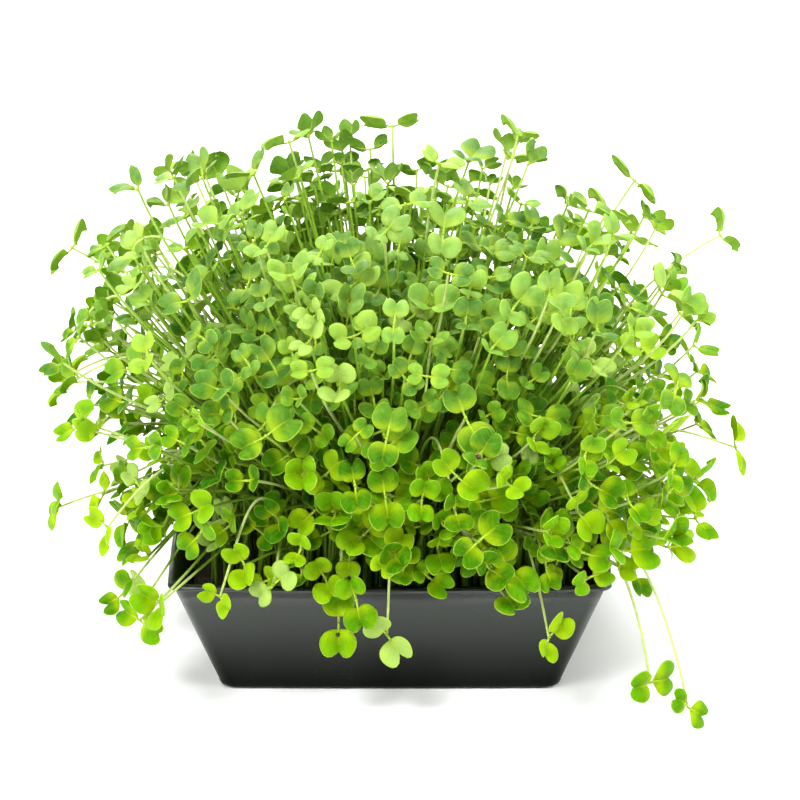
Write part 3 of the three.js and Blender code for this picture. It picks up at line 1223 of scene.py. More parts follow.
class TrayBuilder:
    """Builds the tray: a thin moulded shell with slanting walls and a turned-out lip."""

    SIDE_STEPS = 14
    CORNER_STEPS = 10
    ROUND_STEPS = 5
    WALL_STEPS = 6
    LIP_ROUND = 0.45
    FLAT_SHARE = 0.5

    def __init__(self, shape: TrayShape) -> None:
        """Keeps the tray's sizes.

        Args:
            shape: the tray's sizes.
        """
        self.shape = shape

    def profile(self) -> list[tuple[float, float]]:
        """Works out the section through a wall.

        Returns:
            The half width and the height of each level, from the middle of the foot outwards,
            up the wall, over the lip and down to the middle of the inner floor.
        """
        shape, rounding = self.shape, self.LIP_ROUND
        foot = shape.foot_round
        half_foot = shape.outer_half(foot)
        points = [(self.FLAT_SHARE * half_foot, 0.0)]
        for k in range(self.ROUND_STEPS):
            angle = k / self.ROUND_STEPS * math.pi / 2
            points.append((half_foot - foot * (1 - math.sin(angle)), foot * (1 - math.cos(angle))))
        lip_foot = shape.height - shape.lip_drop
        for k in range(self.WALL_STEPS + 1):
            height = lerp(foot, lip_foot, k / self.WALL_STEPS)
            points.append((shape.outer_half(height), height))
        lip_half = shape.rim_half + shape.lip_out
        points += [
            (lip_half - rounding, lip_foot),
            (lip_half, lip_foot + rounding),
            (lip_half, shape.height - rounding),
            (lip_half - rounding, shape.height),
        ]
        inner = shape.rim_half - shape.wall
        points += [(inner + rounding, shape.height), (inner, shape.height - rounding)]
        for k in range(1, self.WALL_STEPS + 1):
            height = lerp(shape.height - rounding, shape.floor, k / self.WALL_STEPS)
            points.append((shape.inner_half(height), height))
        points.append((self.FLAT_SHARE * half_foot, shape.floor))
        return points

    def build(self, material: bpy.types.Material) -> bpy.types.Object:
        """Makes the tray.

        Args:
            material: its plastic.

        Returns:
            The piece.
        """
        shape = self.shape
        rings = [
            shape.ring(half, height, self.SIDE_STEPS, self.CORNER_STEPS)
            for half, height in self.profile()
        ]
        around = len(rings[0])
        skin = Skin()
        faces = ring_faces(len(rings), around)
        skin.add(np.concatenate(rings), faces)
        tray = skin.piece("moulded_tray", [material])
        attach(tray, BODY)
        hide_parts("tray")
        return tray


@dataclass
class MediumBuilder:
    """Builds the growing medium: a damp block with a lumpy, crumbly top."""

    shape: TrayShape
    levels: int = 45
    inmost: float = 0.02
    side_steps: int = 14
    corner_steps: int = 6
    sunk: float = 0.6
    rise: float = 1.0
    lump: float = 7.0
    grain: float = 1.8
    grain_rise: float = 0.45
    crumbs: int = 900
    crumb: Span = (0.35, 1.25)
    crumb_sides: int = 5
    crumb_top: Span = (0.5, 0.9)
    crumb_levels: Span = (0.35, -0.4)
    crumb_foot: float = 0.7
    crumb_reach: Span = (0.6, 1.1)
    crumb_jitter: float = 0.6
    crumb_up: float = 0.25
    crumb_margin: float = 3.0
    seed: int = 5501

    def top_at(self, x: float, y: float) -> float:
        """Works out the height of the medium's top.

        Args:
            x: the place, to the right.
            y: the place, to the back.

        Returns:
            The height.
        """
        coarse = noise.noise(Vector((x / self.lump, y / self.lump, 0.3)))
        fine = noise.noise(Vector((x / self.grain, y / self.grain, 4.1)))
        return self.shape.soil_top - self.sunk + self.rise * coarse + self.grain_rise * fine

    def block(self) -> Skin:
        """Builds the block that fills the tray.

        Returns:
            Its skin.
        """
        shape = self.shape
        skin = Skin()
        low = shape.floor + shape.soil_gap
        half_low = shape.inner_half(low, shape.soil_gap)
        half_top = shape.inner_half(shape.soil_top, shape.soil_gap)
        outer = shape.ring(half_top, shape.soil_top, self.side_steps, self.corner_steps)
        levels = [shape.ring(half_low, low, self.side_steps, self.corner_steps)]
        for share in np.linspace(1, self.inmost, self.levels):
            ring = outer * np.array([share, share, 1.0])
            ring[:, 2] = [self.top_at(x, y) for x, y in ring[:, :2]]
            levels.append(ring)
        skin.add(np.concatenate(levels), ring_faces(len(levels), len(outer)))
        return skin

    def scatter_crumbs(self, skin: Skin) -> None:
        """Scatters crumbs of the medium over its top.

        Args:
            skin: what they are added to.
        """
        draws = Draws(self.seed)
        shape, sides = self.shape, self.crumb_sides
        half = shape.inner_half(shape.soil_top, self.crumb_margin)
        pairs = [(1 + k, 1 + (k + 1) % sides) for k in range(sides)]
        faces = [(0, here, after) for here, after in pairs]
        faces += [(here, here + sides, after + sides, after) for here, after in pairs]
        faces += [(2 * sides + 1, after + sides, here + sides) for here, after in pairs]
        for _ in range(self.crumbs):
            x, y = draws.between(-half, half), draws.between(-half, half)
            size = lerp(*self.crumb, draws.next() ** 2)
            points = [(0, 0, draws.between(*self.crumb_top))]
            for level in self.crumb_levels:
                for k in range(sides):
                    turn = 2 * math.pi * (k + draws.next() * self.crumb_jitter) / sides
                    reach = draws.between(*self.crumb_reach)
                    points.append((reach * math.cos(turn), reach * math.sin(turn), level))
            points.append((0, 0, -self.crumb_foot))
            centre = np.array([x, y, self.top_at(x, y) + size * self.crumb_up])
            skin.add(centre + size * np.array(points), faces)

    def build(self, material: bpy.types.Material) -> bpy.types.Object:
        """Makes the growing medium.

        Args:
            material: its finish.

        Returns:
            The piece.
        """
        skin = self.block()
        self.scatter_crumbs(skin)
        medium = skin.piece("crumbly_medium", [material])
        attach(medium, BODY)
        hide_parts("growing_medium")
        return medium


@dataclass
class HullBuilder:
    """Builds the split seed hulls that a few seedlings still carry, and others have dropped."""

    carried: int = 16
    dropped: int = 26
    radius: float = 0.8
    sizes: Span = (0.8, 1.2)
    rings: int = 7
    around: int = 10
    end: float = 0.06
    split: float = 0.42
    split_wide: float = 0.35
    narrow: float = 0.8
    long: float = 1.1
    rests_at: float = 0.7
    carried_at: float = 0.3
    margin: float = 4.0
    seed: int = 3307

    def add_hull(self, skin: Skin, centre: np.ndarray, draws: Draws) -> None:
        """Adds one hull: a small dented ball, split on one side.

        Args:
            skin: what it is added to.
            centre: where it lies.
            draws: where its chance values come from.
        """
        tilt = draws.between(0, math.pi)
        spin = draws.between(0, math.pi)
        size = self.radius * draws.between(*self.sizes)
        turn = np.array(Matrix.Rotation(spin, 3, "Z") @ Matrix.Rotation(tilt, 3, "X"))
        angles = turns_round(self.around)
        from_split = np.minimum(angles, 2 * math.pi - angles)
        reach = 1 - self.split * np.exp(-((from_split / self.split_wide) ** 2))
        points = []
        for polar in math.pi * np.linspace(self.end, 1 - self.end, self.rings):
            wide = reach * math.sin(polar)
            height = np.full(self.around, -self.long * math.cos(polar))
            level = [wide * np.cos(angles) * self.narrow, wide * np.sin(angles), height]
            points.append(centre + np.stack(level, axis=1) @ turn.T * size)
        skin.add(np.concatenate(points), ring_faces(self.rings, self.around))

    def build(
        self, seedlings: Sequence[Seedling], medium: MediumBuilder, material: bpy.types.Material
    ) -> bpy.types.Object:
        """Makes the hulls.

        Args:
            seedlings: those that may carry one.
            medium: the growing medium that the dropped ones lie on.
            material: their finish.

        Returns:
            The piece.
        """
        draws = Draws(self.seed)
        skin = Skin()
        for _ in range(self.carried):
            seedling = seedlings[int(draws.next() * len(seedlings))]
            side = 1 if draws.next() < 0.5 else -1
            axis, face = seedling.leaf_frame(side)
            centre = seedling.tip + axis * seedling.size * self.carried_at
            self.add_hull(skin, centre + face * self.radius * self.rests_at, draws)
        reach = medium.shape.inner_half(medium.shape.soil_top, self.margin)
        for _ in range(self.dropped):
            x, y = draws.between(-reach, reach), draws.between(-reach, reach)
            centre = np.array([x, y, medium.top_at(x, y) + self.radius * self.rests_at])
            self.add_hull(skin, centre, draws)
        hulls = skin.piece("seed_hulls", [material])
        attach(hulls, BODY)
        return hulls


Wire = bpy.types.NodeSocket | float


class NodeSheet:
    """The nodes of one material, laid down with short calls."""

    def __init__(self, name: str) -> None:
        """Starts an empty material.

        Args:
            name: the material's name.
        """
        self.material = bpy.data.materials.new(name)
        self.material.use_nodes = True
        self.tree = self.material.node_tree
        self.tree.nodes.clear()

    def plug(self, socket: bpy.types.NodeSocket, value: Wire | Colour | Sequence[float]) -> None:
        """Links a wire to a socket, or sets the socket to a constant.

        Args:
            socket: the socket.
            value: the wire or the constant.
        """
        if isinstance(value, bpy.types.NodeSocket):
            self.tree.links.new(value, socket)
        else:
            socket.default_value = value

    def node(self, kind: str, **settings: object) -> bpy.types.Node:
        """Adds a node.

        Args:
            kind: its type.
            **settings: its own settings.

        Returns:
            The node.
        """
        node = self.tree.nodes.new(kind)
        for key, value in settings.items():
            setattr(node, key, value)
        return node

    def math(self, operation: str, first: Wire, second: Wire = 0.0, third: Wire = 0.0) -> Wire:
        """Works out a number from others.

        Args:
            operation: what is done.
            first: the first number.
            second: the second number.
            third: the third number.

        Returns:
            The result.
        """
        node = self.node("ShaderNodeMath", operation=operation)
        for socket, value in zip(node.inputs, (first, second, third)):
            self.plug(socket, value)
        return node.outputs[0]

    def times(self, first: Wire, second: Wire) -> Wire:
        """Returns the product of two numbers."""
        return self.math("MULTIPLY", first, second)

    def fade(self, value: Wire, start: float, end: float, low: float = 0.0, high: float = 1.0) -> Wire:
        """Fades smoothly between two results while a value changes.

        Args:
            value: the value.
            start: the value at which the fade starts.
            end: the value at which it ends.
            low: the result at the start.
            high: the result at the end.

        Returns:
            The result.
        """
        node = self.node("ShaderNodeMapRange", interpolation_type="SMOOTHSTEP")
        for key, number in (
            ("From Min", start), ("From Max", end), ("To Min", low), ("To Max", high)
        ):
            node.inputs[key].default_value = number
        self.plug(node.inputs["Value"], value)
        return node.outputs["Result"]

    def blend(self, share: Wire, first: Wire | Colour, second: Wire | Colour) -> Wire:
        """Blends two colours.

        Args:
            share: 0 for the first, 1 for the second.
            first: the first colour.
            second: the second colour.

        Returns:
            The blended colour.
        """
        node = self.node("ShaderNodeMix", data_type="RGBA")
        self.plug(node.inputs[0], share)
        self.plug(node.inputs[6], first)
        self.plug(node.inputs[7], second)
        return node.outputs[2]

    def place(self) -> Wire:
        """Returns the place of a point on its piece, in metres."""
        return self.node("ShaderNodeTexCoord").outputs["Object"]

    def split(self, vector: Wire) -> Sequence[Wire]:
        """Takes a vector apart.

        Args:
            vector: the vector.

        Returns:
            Its three values.
        """
        node = self.node("ShaderNodeSeparateXYZ")
        self.plug(node.inputs[0], vector)
        return node.outputs

    def height(self, place: Wire) -> Wire:
        """Returns the height of a place, in metres."""
        return self.split(place)[2]

    def noise(self, vector: Wire, size: float, detail: float = 3.0, rough: float = 0.5) -> Wire:
        """Makes soft random patches.

        Args:
            vector: the place.
            size: how wide a patch is, in millimetres.
            detail: how many finer layers it has.
            rough: how strong those are.

        Returns:
            A value that wanders around 0.5.
        """
        node = self.node("ShaderNodeTexNoise")
        self.plug(node.inputs["Vector"], vector)
        node.inputs["Scale"].default_value = 1 / (size * MM)
        node.inputs["Detail"].default_value = detail
        node.inputs["Roughness"].default_value = rough
        return node.outputs["Fac"]

    def map_axes(self, name: str) -> tuple[Wire, Wire]:
        """Reads a surface map.

        Args:
            name: the map's name.

        Returns:
            Its two values.
        """
        values = self.split(self.node("ShaderNodeUVMap", uv_map=name).outputs[0])
        return values[0], values[1]

    def bump(self, height: Wire, strength: float, depth: float) -> Wire:
        """Turns a height into a bumpy surface.

        Args:
            height: the height from 0 to 1.
            strength: how much of it shows.
            depth: how deep it is, in millimetres.

        Returns:
            The surface direction.
        """
        node = self.node("ShaderNodeBump")
        node.inputs["Strength"].default_value = strength
        node.inputs["Distance"].default_value = depth * MM
        self.plug(node.inputs["Height"], height)
        return node.outputs["Normal"]

    def body(self, **values: Wire | Colour | Sequence[float]) -> bpy.types.Node:
        """Adds the main shader.

        Args:
            **values: its sockets, by name with _ for a space.

        Returns:
            The shader node.
        """
        node = self.node("ShaderNodeBsdfPrincipled")
        for key, value in values.items():
            self.plug(node.inputs[key.replace("_", " ")], value)
        return node

    def thin(self, shader: bpy.types.Node, share: float, **values: Wire) -> bpy.types.NodeSocket:
        """Lets a share of the light through a shader, as a thin leaf does.

        Args:
            shader: the main shader.
            share: how much of the light passes through.
            **values: the sockets of the shader that lets it through, by name.

        Returns:
            The two shaders together.
        """
        glow = self.node("ShaderNodeBsdfTranslucent")
        for key, value in values.items():
            self.plug(glow.inputs[key], value)
        both = self.node("ShaderNodeMixShader")
        for socket, value in zip(both.inputs, (share, shader.outputs[0], glow.outputs[0])):
            self.plug(socket, value)
        return both.outputs[0]

    def finish(self, shader: bpy.types.NodeSocket) -> bpy.types.Material:
        """Ends the material.

        Args:
            shader: its shader.

        Returns:
            The material.
        """
        output = self.node("ShaderNodeOutputMaterial")
        self.plug(output.inputs["Surface"], shader)
        return self.material


@dataclass(frozen=True)
class MouldedPlastic:
    """The tray's finish: dark grey plastic with a satin gloss and a faint grain, with painted shade:
    its gloss fades out toward the foot.
    """

    base: Colour = colour(9, 12, 9)
    worn: Colour = colour(26, 31, 27)
    sheen: Colour = (0.94, 1.0, 0.93, 1.0)
    roughness: Span = (0.24, 0.32)
    # Painted shade: the gloss rises from its low value at the foot to its high value a little below
    # the rim, so the wall darkens near the floor.
    gloss: Span = (0.06, 0.64)
    foot_shade_height: Span = (0.0, 0.036)
    cloud: float = 26.0
    grain: float = 0.5
    scuffs: float = 5.0
    scuffed: Span = (0.55, 0.75)
    scuff_shade: float = 0.12
    scuff_rough: float = 0.02
    bumps: Span = (0.12, 0.04)

    def make(self) -> bpy.types.Material:
        """Makes the material.

        Returns:
            The material.
        """
        sheet = NodeSheet("moulded_tray_plastic")
        place = sheet.place()
        cloud = sheet.noise(place, self.cloud, 3)
        grain = sheet.noise(place, self.grain, 2, 0.6)
        scuff = sheet.fade(sheet.noise(place, self.scuffs, 6, 0.7), *self.scuffed)
        shade = sheet.blend(sheet.times(scuff, self.scuff_shade), self.base, self.worn)
        smooth, rough = self.roughness
        rough = sheet.math("MULTIPLY_ADD", cloud, rough - smooth, smooth)
        rough = sheet.math("MULTIPLY_ADD", scuff, self.scuff_rough, rough)
        # Painted shade: the gloss, and with it the wall's reflection, fades out toward the foot.
        gloss = sheet.fade(sheet.height(place), *self.foot_shade_height, *self.gloss)
        relief = sheet.math("MULTIPLY_ADD", grain, 0.6, sheet.times(cloud, 2.0))
        shader = sheet.body(
            Base_Color=shade,
            Roughness=rough,
            Specular_IOR_Level=gloss,
            Specular_Tint=self.sheen,
            Normal=sheet.bump(relief, *self.bumps),
        )
        return sheet.finish(shader.outputs[0])


@dataclass(frozen=True)
class DampMedium:
    """The growing medium's finish: dark, damp and fibrous."""

    dark: Colour = colour(24, 17, 11)
    brown: Colour = colour(62, 44, 27)
    fibre: Colour = colour(112, 84, 52)
    lumps: float = 3.2
    grain: float = 0.7
    roughness: Span = (0.68, 0.95)
    bumps: Span = (0.9, 0.8)

    def make(self) -> bpy.types.Material:
        """Makes the material.

        Returns:
            The material.
        """
        sheet = NodeSheet("damp_growing_medium")
        place = sheet.place()
        lumps = sheet.noise(place, self.lumps, 5, 0.65)
        fine = sheet.noise(place, self.grain, 4, 0.7)
        shade = sheet.blend(sheet.fade(lumps, 0.35, 0.7), self.dark, self.brown)
        shade = sheet.blend(sheet.fade(fine, 0.6, 0.78, 0, 0.8), shade, self.fibre)
        relief = sheet.math("MULTIPLY_ADD", fine, 0.5, lumps)
        shader = sheet.body(
            Base_Color=shade,
            Roughness=sheet.fade(fine, 0.2, 0.8, *self.roughness),
            Normal=sheet.bump(relief, *self.bumps),
        )
        return sheet.finish(shader.outputs[0])


@dataclass(frozen=True)
class SeedHull:
    """The seed hulls' finish: thin brown skin with a fine net."""

    dark: Colour = colour(34, 20, 11)
    light: Colour = colour(74, 46, 24)
    patches: float = 0.9
    net: float = 0.22
    roughness: Span = (0.42, 0.7)
    bumps: Span = (0.5, 0.12)

    def make(self) -> bpy.types.Material:
        """Makes the material.

        Returns:
            The material.
        """
        sheet = NodeSheet("dry_seed_hull")
        place = sheet.place()
        patch = sheet.noise(place, self.patches, 3)
        net = sheet.noise(place, self.net, 2)
        shader = sheet.body(
            Base_Color=sheet.blend(sheet.fade(patch, 0.3, 0.7), self.dark, self.light),
            Roughness=sheet.fade(net, 0.3, 0.7, *self.roughness),
            Normal=sheet.bump(net, *self.bumps),
        )
        return sheet.finish(shader.outputs[0])


@dataclass(frozen=True)
class SeedlingStem:
    """The stems' finish: watery, nearly white below and yellow-green under the leaves, with painted
    shade low down and deep in the crop, and painted light higher up.
    """

    low: Colour = colour(208, 216, 172)
    high: Colour = colour(192, 208, 122)
    # Painted shade and painted light: a stem's green runs from the shaded colour low down to the lit
    # colour higher up.
    shaded: Colour = colour(96, 132, 2)
    sheen: Colour = (0.85, 1.0, 0.35, 1.0)
    lit: Colour = colour(140, 182, 46)
    lit_height: Span = (0.055, 0.115)
    stalk: Colour = colour(176, 206, 66)
    through: Colour = colour(196, 212, 118)
    let_through: float = 0.25
    streaks: float = 1.3
    streak_shade: Span = (0.86, 1.06)
    roughness: Span = (0.34, 0.5)
    gloss: float = 0.28
    grain: float = 0.5
    bumps: Span = (0.3, 0.1)

    def make(self) -> bpy.types.Material:
        """Makes the material.

        Returns:
            The material.
        """
        sheet = NodeSheet("seedling_stem_skin")
        _, share = sheet.map_axes(BLADE_MAP)
        tone, _ = sheet.map_axes(TONE_MAP)
        place = sheet.place()
        streak = sheet.noise(place, self.streaks, 3)
        shade = sheet.blend(sheet.fade(share, 0.25, 0.98), self.low, self.high)
        # Low tones keep the pale colour: pale stems, and stems painted pale with light out in the
        # open.
        greener = sheet.fade(tone, 0.0, 0.2, 0.0, 0.96)
        # Painted light and shade: the green part is painted shaded low down and lit higher up, and
        # less lit where the tone is deep inside the crop.
        lit = sheet.fade(sheet.height(place), *self.lit_height)
        lit = sheet.times(lit, sheet.fade(tone, 0.7, 1.3, 1.0, 0.35))
        green = sheet.blend(lit, self.shaded, self.lit)
        shade = sheet.blend(greener, shade, green)
        shade = sheet.blend(sheet.fade(share, 0.95, 1.1), shade, self.stalk)
        darker = sheet.fade(streak, 0.35, 0.65, *self.streak_shade)
        tinted = sheet.node("ShaderNodeVectorMath", operation="SCALE")
        sheet.plug(tinted.inputs[0], shade)
        sheet.plug(tinted.inputs["Scale"], darker)
        shader = sheet.body(
            Base_Color=tinted.outputs[0],
            Roughness=sheet.fade(streak, 0.3, 0.7, *self.roughness),
            Specular_IOR_Level=self.gloss,
            Specular_Tint=self.sheen,
            Normal=sheet.bump(sheet.noise(place, self.grain, 2), *self.bumps),
        )
        # The light let through takes the same painted light and shade.
        light = sheet.blend(greener, self.through, green)
        return sheet.finish(sheet.thin(shader, self.let_through, Color=light))


@dataclass(frozen=True)
class SeedLeaf:
    """The seed leaves' finish: green with pale ribs and rim, letting light through, with painted shade
    in the middle of each blade and a waxy bloom with painted sheen towards the top of the crop.
    """

    deep: Colour = colour(38, 92, 6)
    green: Colour = colour(92, 158, 4)
    bright: Colour = colour(150, 188, 12)
    rib: Colour = colour(190, 216, 22)
    under: Colour = colour(126, 180, 14)
    rim: Colour = colour(200, 232, 80)
    cool: Colour = colour(36, 116, 4)
    # Partly real waxy bloom, partly painted sheen: the pale bloom colour grows with height, as the top
    # leaves catch the light from above.
    bloom_and_top_sheen: Colour = colour(186, 212, 138)
    bloom_and_sheen_height: Span = (0.075, 0.15)
    bloom_and_sheen_most: float = 0.52
    through: Colour = colour(190, 214, 0)
    through_deep: Colour = colour(108, 160, 0)
    through_bloom_and_sheen: Colour = colour(192, 206, 124)
    let_through: float = 0.4
    sheen_low: Colour = (0.8, 1.0, 0.12, 1.0)
    sheen_high: Colour = (0.95, 1.0, 0.7, 1.0)
    patches: float = 3.0
    specks: float = 0.35
    rib_width: Span = (0.05, 0.012)
    rib_slant: float = -0.75
    rib_wander: float = 0.11
    rib_step: float = 0.17
    faint: float = 0.12
    roughness: Span = (0.34, 0.5)
    gloss: float = 0.24
    bumps: Span = (0.55, 0.22)

    def veins(self, sheet: NodeSheet, across: Wire, along: Wire, wander: Wire) -> tuple[Wire, Wire]:
        """Draws the ribs of a blade.

        Args:
            sheet: the material's nodes.
            across: the place across the blade, in leaf widths.
            along: the place along it.
            wander: a soft random value that bends the side ribs.

        Returns:
            The middle rib and the side ribs, each from 0 to 1.
        """
        aside = sheet.math("ABSOLUTE", across)
        width = sheet.fade(along, 0.3, 0.9, *self.rib_width)
        middle = sheet.math("SUBTRACT", 1.0, sheet.math("DIVIDE", aside, width))
        middle = sheet.fade(middle, 0.0, 0.8)
        slant = sheet.math("MULTIPLY_ADD", aside, self.rib_slant, along)
        slant = sheet.math("MULTIPLY_ADD", wander, self.rib_wander, slant)
        step = sheet.math("FRACT", sheet.math("DIVIDE", slant, self.rib_step))
        off = sheet.math("ABSOLUTE", sheet.math("SUBTRACT", step, 0.5))
        side = sheet.fade(off, 0.02, 0.13, 1.0, 0.0)
        return middle, sheet.times(side, sheet.fade(aside, 0.3, 0.46, 1.0, 0.0))

    def make(self) -> bpy.types.Material:
        """Makes the material.

        Returns:
            The material.
        """
        sheet = NodeSheet("seedling_leaf_skin")
        across, along = sheet.map_axes(BLADE_MAP)
        tone, ring = sheet.map_axes(TONE_MAP)
        below = sheet.math("GREATER_THAN", ring, UNDERSIDE - 0.5)
        edge = sheet.math("MULTIPLY_ADD", below, -UNDERSIDE, ring)
        place = sheet.place()
        patch = sheet.noise(place, self.patches, 4, 0.55)
        speck = sheet.noise(place, self.specks, 2)
        middle, side = self.veins(sheet, across, along, patch)
        # The tone carries painted light and shade from the leaf's place in the crop, as well as its
        # random part.
        shade = sheet.blend(sheet.fade(tone, 0.0, 0.55), self.deep, self.green)
        shade = sheet.blend(sheet.fade(tone, 0.45, 0.9), shade, self.bright)
        shade = sheet.blend(sheet.fade(patch, 0.42, 0.66, 0.0, 0.35), shade, self.bright)
        shade = sheet.blend(sheet.fade(tone, 0.3, 0.1, 0.0, 0.75), shade, self.cool)
        pale = sheet.fade(tone, 1.1, 1.3, 0.0, 0.45)
        # Painted shade: the middle of the blade is darkened towards the deep colour, as if shaded in
        # its cup.
        shade = sheet.blend(sheet.fade(edge, 0.2, 0.8, 0.3, 0.0), shade, self.deep)
        base = sheet.fade(along, 0.25, 0.6, 0.55, 0.0)
        shade = sheet.blend(base, shade, self.rib)
        faint_ribs = sheet.times(side, self.faint)
        shade = sheet.blend(faint_ribs, shade, self.rib)
        middle_rib = sheet.times(middle, sheet.fade(along, 0.3, 0.8, 0.6, 0.08))
        shade = sheet.blend(middle_rib, shade, self.rib)
        shade = sheet.blend(sheet.times(below, 0.55), shade, self.under)
        # Partly real waxy bloom, partly painted sheen: the bloom colour is laid on more towards the
        # top of the crop, and pale pairs take it too.
        bloom_and_top_sheen = sheet.fade(sheet.height(place), *self.bloom_and_sheen_height, 0.0, self.bloom_and_sheen_most)
        bloom_and_top_sheen = sheet.times(bloom_and_top_sheen, sheet.fade(patch, 0.3, 0.6, 0.6, 1.0))
        bloom_and_top_sheen = sheet.times(bloom_and_top_sheen, sheet.fade(tone, 0.05, 0.4, 0.5, 0.85))
        bloom_and_top_sheen = sheet.math("MAXIMUM", bloom_and_top_sheen, pale)
        shade = sheet.blend(bloom_and_top_sheen, shade, self.bloom_and_top_sheen)
        shade = sheet.blend(sheet.fade(edge, 0.92, 1.0, 0.0, 0.9), shade, self.rim)
        relief = sheet.math("MULTIPLY_ADD", middle, -0.9, sheet.times(side, -0.45))
        relief = sheet.math("MULTIPLY_ADD", speck, 0.16, relief)
        relief = sheet.math("MULTIPLY_ADD", patch, 0.8, relief)
        normal = sheet.bump(relief, *self.bumps)
        shader = sheet.body(
            Base_Color=shade,
            Roughness=sheet.fade(patch, 0.3, 0.7, *self.roughness),
            Specular_IOR_Level=self.gloss,
            Specular_Tint=sheet.blend(bloom_and_top_sheen, self.sheen_low, self.sheen_high),
            Normal=normal,
        )
        light = sheet.blend(sheet.fade(tone, 0.1, 0.8), self.through_deep, self.through)
        # The light let through takes the same bloom and painted sheen.
        light = sheet.blend(bloom_and_top_sheen, light, self.through_bloom_and_sheen)
        light = sheet.blend(faint_ribs, light, self.rib)
        return sheet.finish(sheet.thin(shader, self.let_through, Color=light, Normal=normal))


class Lamp(Enum):
    """The studio's soft boxes: place, aim, size and power."""

    TOP = ((0.1, 0.5, 1.5), (0.0, 0.0, 0.08), 1.5, 16.0)
    BACK = ((-0.2, 1.4, 0.9), (0.0, 0.0, 0.1), 1.2, 25.0)
    KEY = ((-0.55, -1.0, 1.3), (0.0, 0.0, 0.08), 0.42, 28.0)
    FILL = ((0.95, -0.9, 1.0), (0.0, 0.0, 0.08), 0.9, 12.0)
    FLOOR_RIGHT = ((0.75, -0.35, 0.35), (0.15, 0.08, 0.0), 0.4, 3.6)
    FLOOR_LEFT = ((-0.75, -0.35, 0.35), (-0.15, 0.08, 0.0), 0.4, 4.2)


@dataclass
class Studio:
    """The plain white studio: floor, soft boxes and camera."""

    floor_half: float = 12.0
    floor_shade: Colour = colour(245, 245, 245)
    floor_roughness: float = 0.8
    sky: float = 0.17
    ceiling: float = 2.4
    ceiling_spread: float = math.radians(70)
    ceiling_tilt: float = math.radians(-18)
    camera_at: tuple[float, float, float] = (2.97, -748.4, 345.59)
    camera_pitch: float = math.radians(20)
    focal_pixels: float = 2600.0
    frame_pixels: float = 800.0
    sensor: float = 36.0
    sight: float = 20.0

    def build_floor(self) -> bpy.types.Object:
        """Makes the floor.

        Returns:
            The floor.
        """
        half = self.floor_half
        mesh = bpy.data.meshes.new("studio_floor")
        corners = [(-half, -half, 0), (half, -half, 0), (half, half, 0), (-half, half, 0)]
        mesh.from_pydata(corners, [], [(0, 1, 2, 3)])
        sheet = NodeSheet("studio_floor_paint")
        shader = sheet.body(Base_Color=self.floor_shade, Roughness=self.floor_roughness)
        mesh.materials.append(sheet.finish(shader.outputs[0]))
        floor = add_object("studio_floor", mesh)
        return floor

    def light(self) -> None:
        """Hangs the soft boxes and sets the even light all around."""
        for lamp in Lamp:
            at, aim, size, power = lamp.value
            data = bpy.data.lights.new(f"soft_box_{lamp.name.lower()}", "AREA")
            data.size = size
            data.energy = power
            box = add_object(data.name, data)
            box.location = at
            box.rotation_euler = (Vector(aim) - Vector(at)).to_track_quat("-Z", "Y").to_euler()
        ceiling = bpy.data.lights.new("bright_ceiling", "SUN")
        ceiling.energy = self.ceiling
        ceiling.angle = self.ceiling_spread
        add_object(ceiling.name, ceiling).rotation_euler = (self.ceiling_tilt, 0, 0)
        world = bpy.data.worlds.new("studio_air")
        world.use_nodes = True
        background = world.node_tree.nodes["Background"]
        background.inputs["Color"].default_value = (1, 1, 1, 1)
        background.inputs["Strength"].default_value = self.sky
        bpy.context.scene.world = world
        bpy.context.scene.view_settings.view_transform = "Standard"

    def place_camera(self) -> bpy.types.Object:
        """Sets the camera where the photograph was taken from.

        Returns:
            The camera.
        """
        data = bpy.data.cameras.new("photo_camera")
        data.sensor_width = self.sensor
        data.lens = self.focal_pixels / self.frame_pixels * self.sensor
        data.clip_end = self.sight
        camera = add_object("photo_camera", data)
        camera.location = [value * MM for value in self.camera_at]
        camera.rotation_euler = (math.pi / 2 - self.camera_pitch, 0, 0)
        bpy.context.scene.camera = camera
        return camera


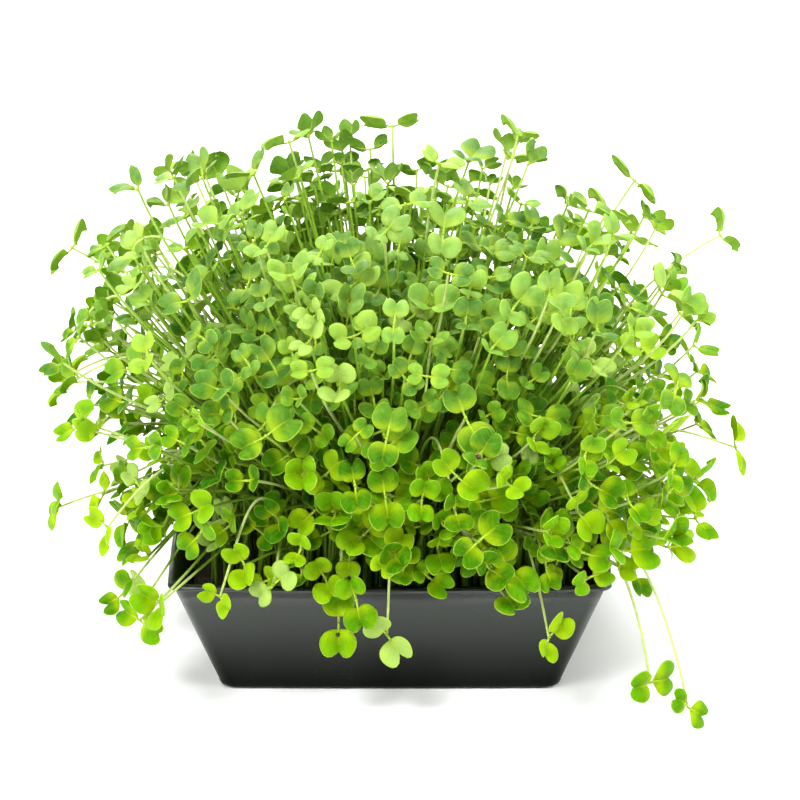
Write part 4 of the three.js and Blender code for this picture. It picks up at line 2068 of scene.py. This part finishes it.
@dataclass
class SeedlingBed:
    """Makes the fine pieces of the tufts and of the seedlings between them."""

    maker: SeedlingMaker
    materials: Sequence[bpy.types.Material]
    filling_pieces: int = 16

    def build_tufts(self, crop: Crop) -> int:
        """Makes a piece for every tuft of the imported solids.

        Args:
            crop: the sown tufts.

        Returns:
            How many pieces there are.
        """
        for number, seedlings in enumerate(crop.tufts, start=1):
            skin = Skin()
            for seedling in seedlings:
                self.maker.add(skin, seedling)
            piece = skin.piece(f"fine_tuft_{number:02d}", self.materials)
            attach(piece, BODY)
            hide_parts(f"seedling_tuft_{number:02d}")
        return len(crop.tufts)

    def build_filling(self, filling: Filling) -> int:
        """Makes the pieces of the seedlings between the tufts.

        Args:
            filling: the sown seedlings.

        Returns:
            How many pieces there are.
        """
        for number in range(self.filling_pieces):
            skin = Skin()
            for seedling in filling.seedlings[number :: self.filling_pieces]:
                self.maker.add(skin, seedling)
            piece = skin.piece(f"seedlings_between_{number + 1:02d}", self.materials)
            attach(piece, BODY)
        return self.filling_pieces


def main() -> None:
    """Builds the tray and its crop, and dresses the studio."""
    logging.basicConfig(level=logging.INFO, format="%(message)s")
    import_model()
    studio = Studio()
    studio.place_camera()
    studio.build_floor()
    studio.light()

    shape = TrayShape()
    tray = TrayBuilder(shape).build(MouldedPlastic().make())
    log.info("%s: %d faces", tray.name, len(tray.data.polygons))
    medium_builder = MediumBuilder(shape)
    medium = medium_builder.build(DampMedium().make())
    log.info("%s: %d faces", medium.name, len(medium.data.polygons))

    crop = Crop(SowingRule(), shape)
    crop.sow()
    log.info("seedlings in tufts: %d", sum(len(tuft) for tuft in crop.tufts))
    filling = Filling(crop, FillingRule())
    filling.sow()
    log.info("seedlings between the tufts: %d", len(filling.seedlings))
    skins = [SeedLeaf().make(), SeedlingStem().make()]
    maker = SeedlingMaker(LeafShape(), StemShape(), ToneRule(), seed=1933)
    bed = SeedlingBed(maker, skins)
    log.info("tuft pieces: %d", bed.build_tufts(crop))
    log.info("pieces between: %d", bed.build_filling(filling))
    everyone = [seedling for tuft in crop.tufts for seedling in tuft] + filling.seedlings
    hulls = HullBuilder().build(everyone, medium_builder, SeedHull().make())
    log.info("%s: %d faces", hulls.name, len(hulls.data.polygons))


if __name__ == "__main__":
    main()
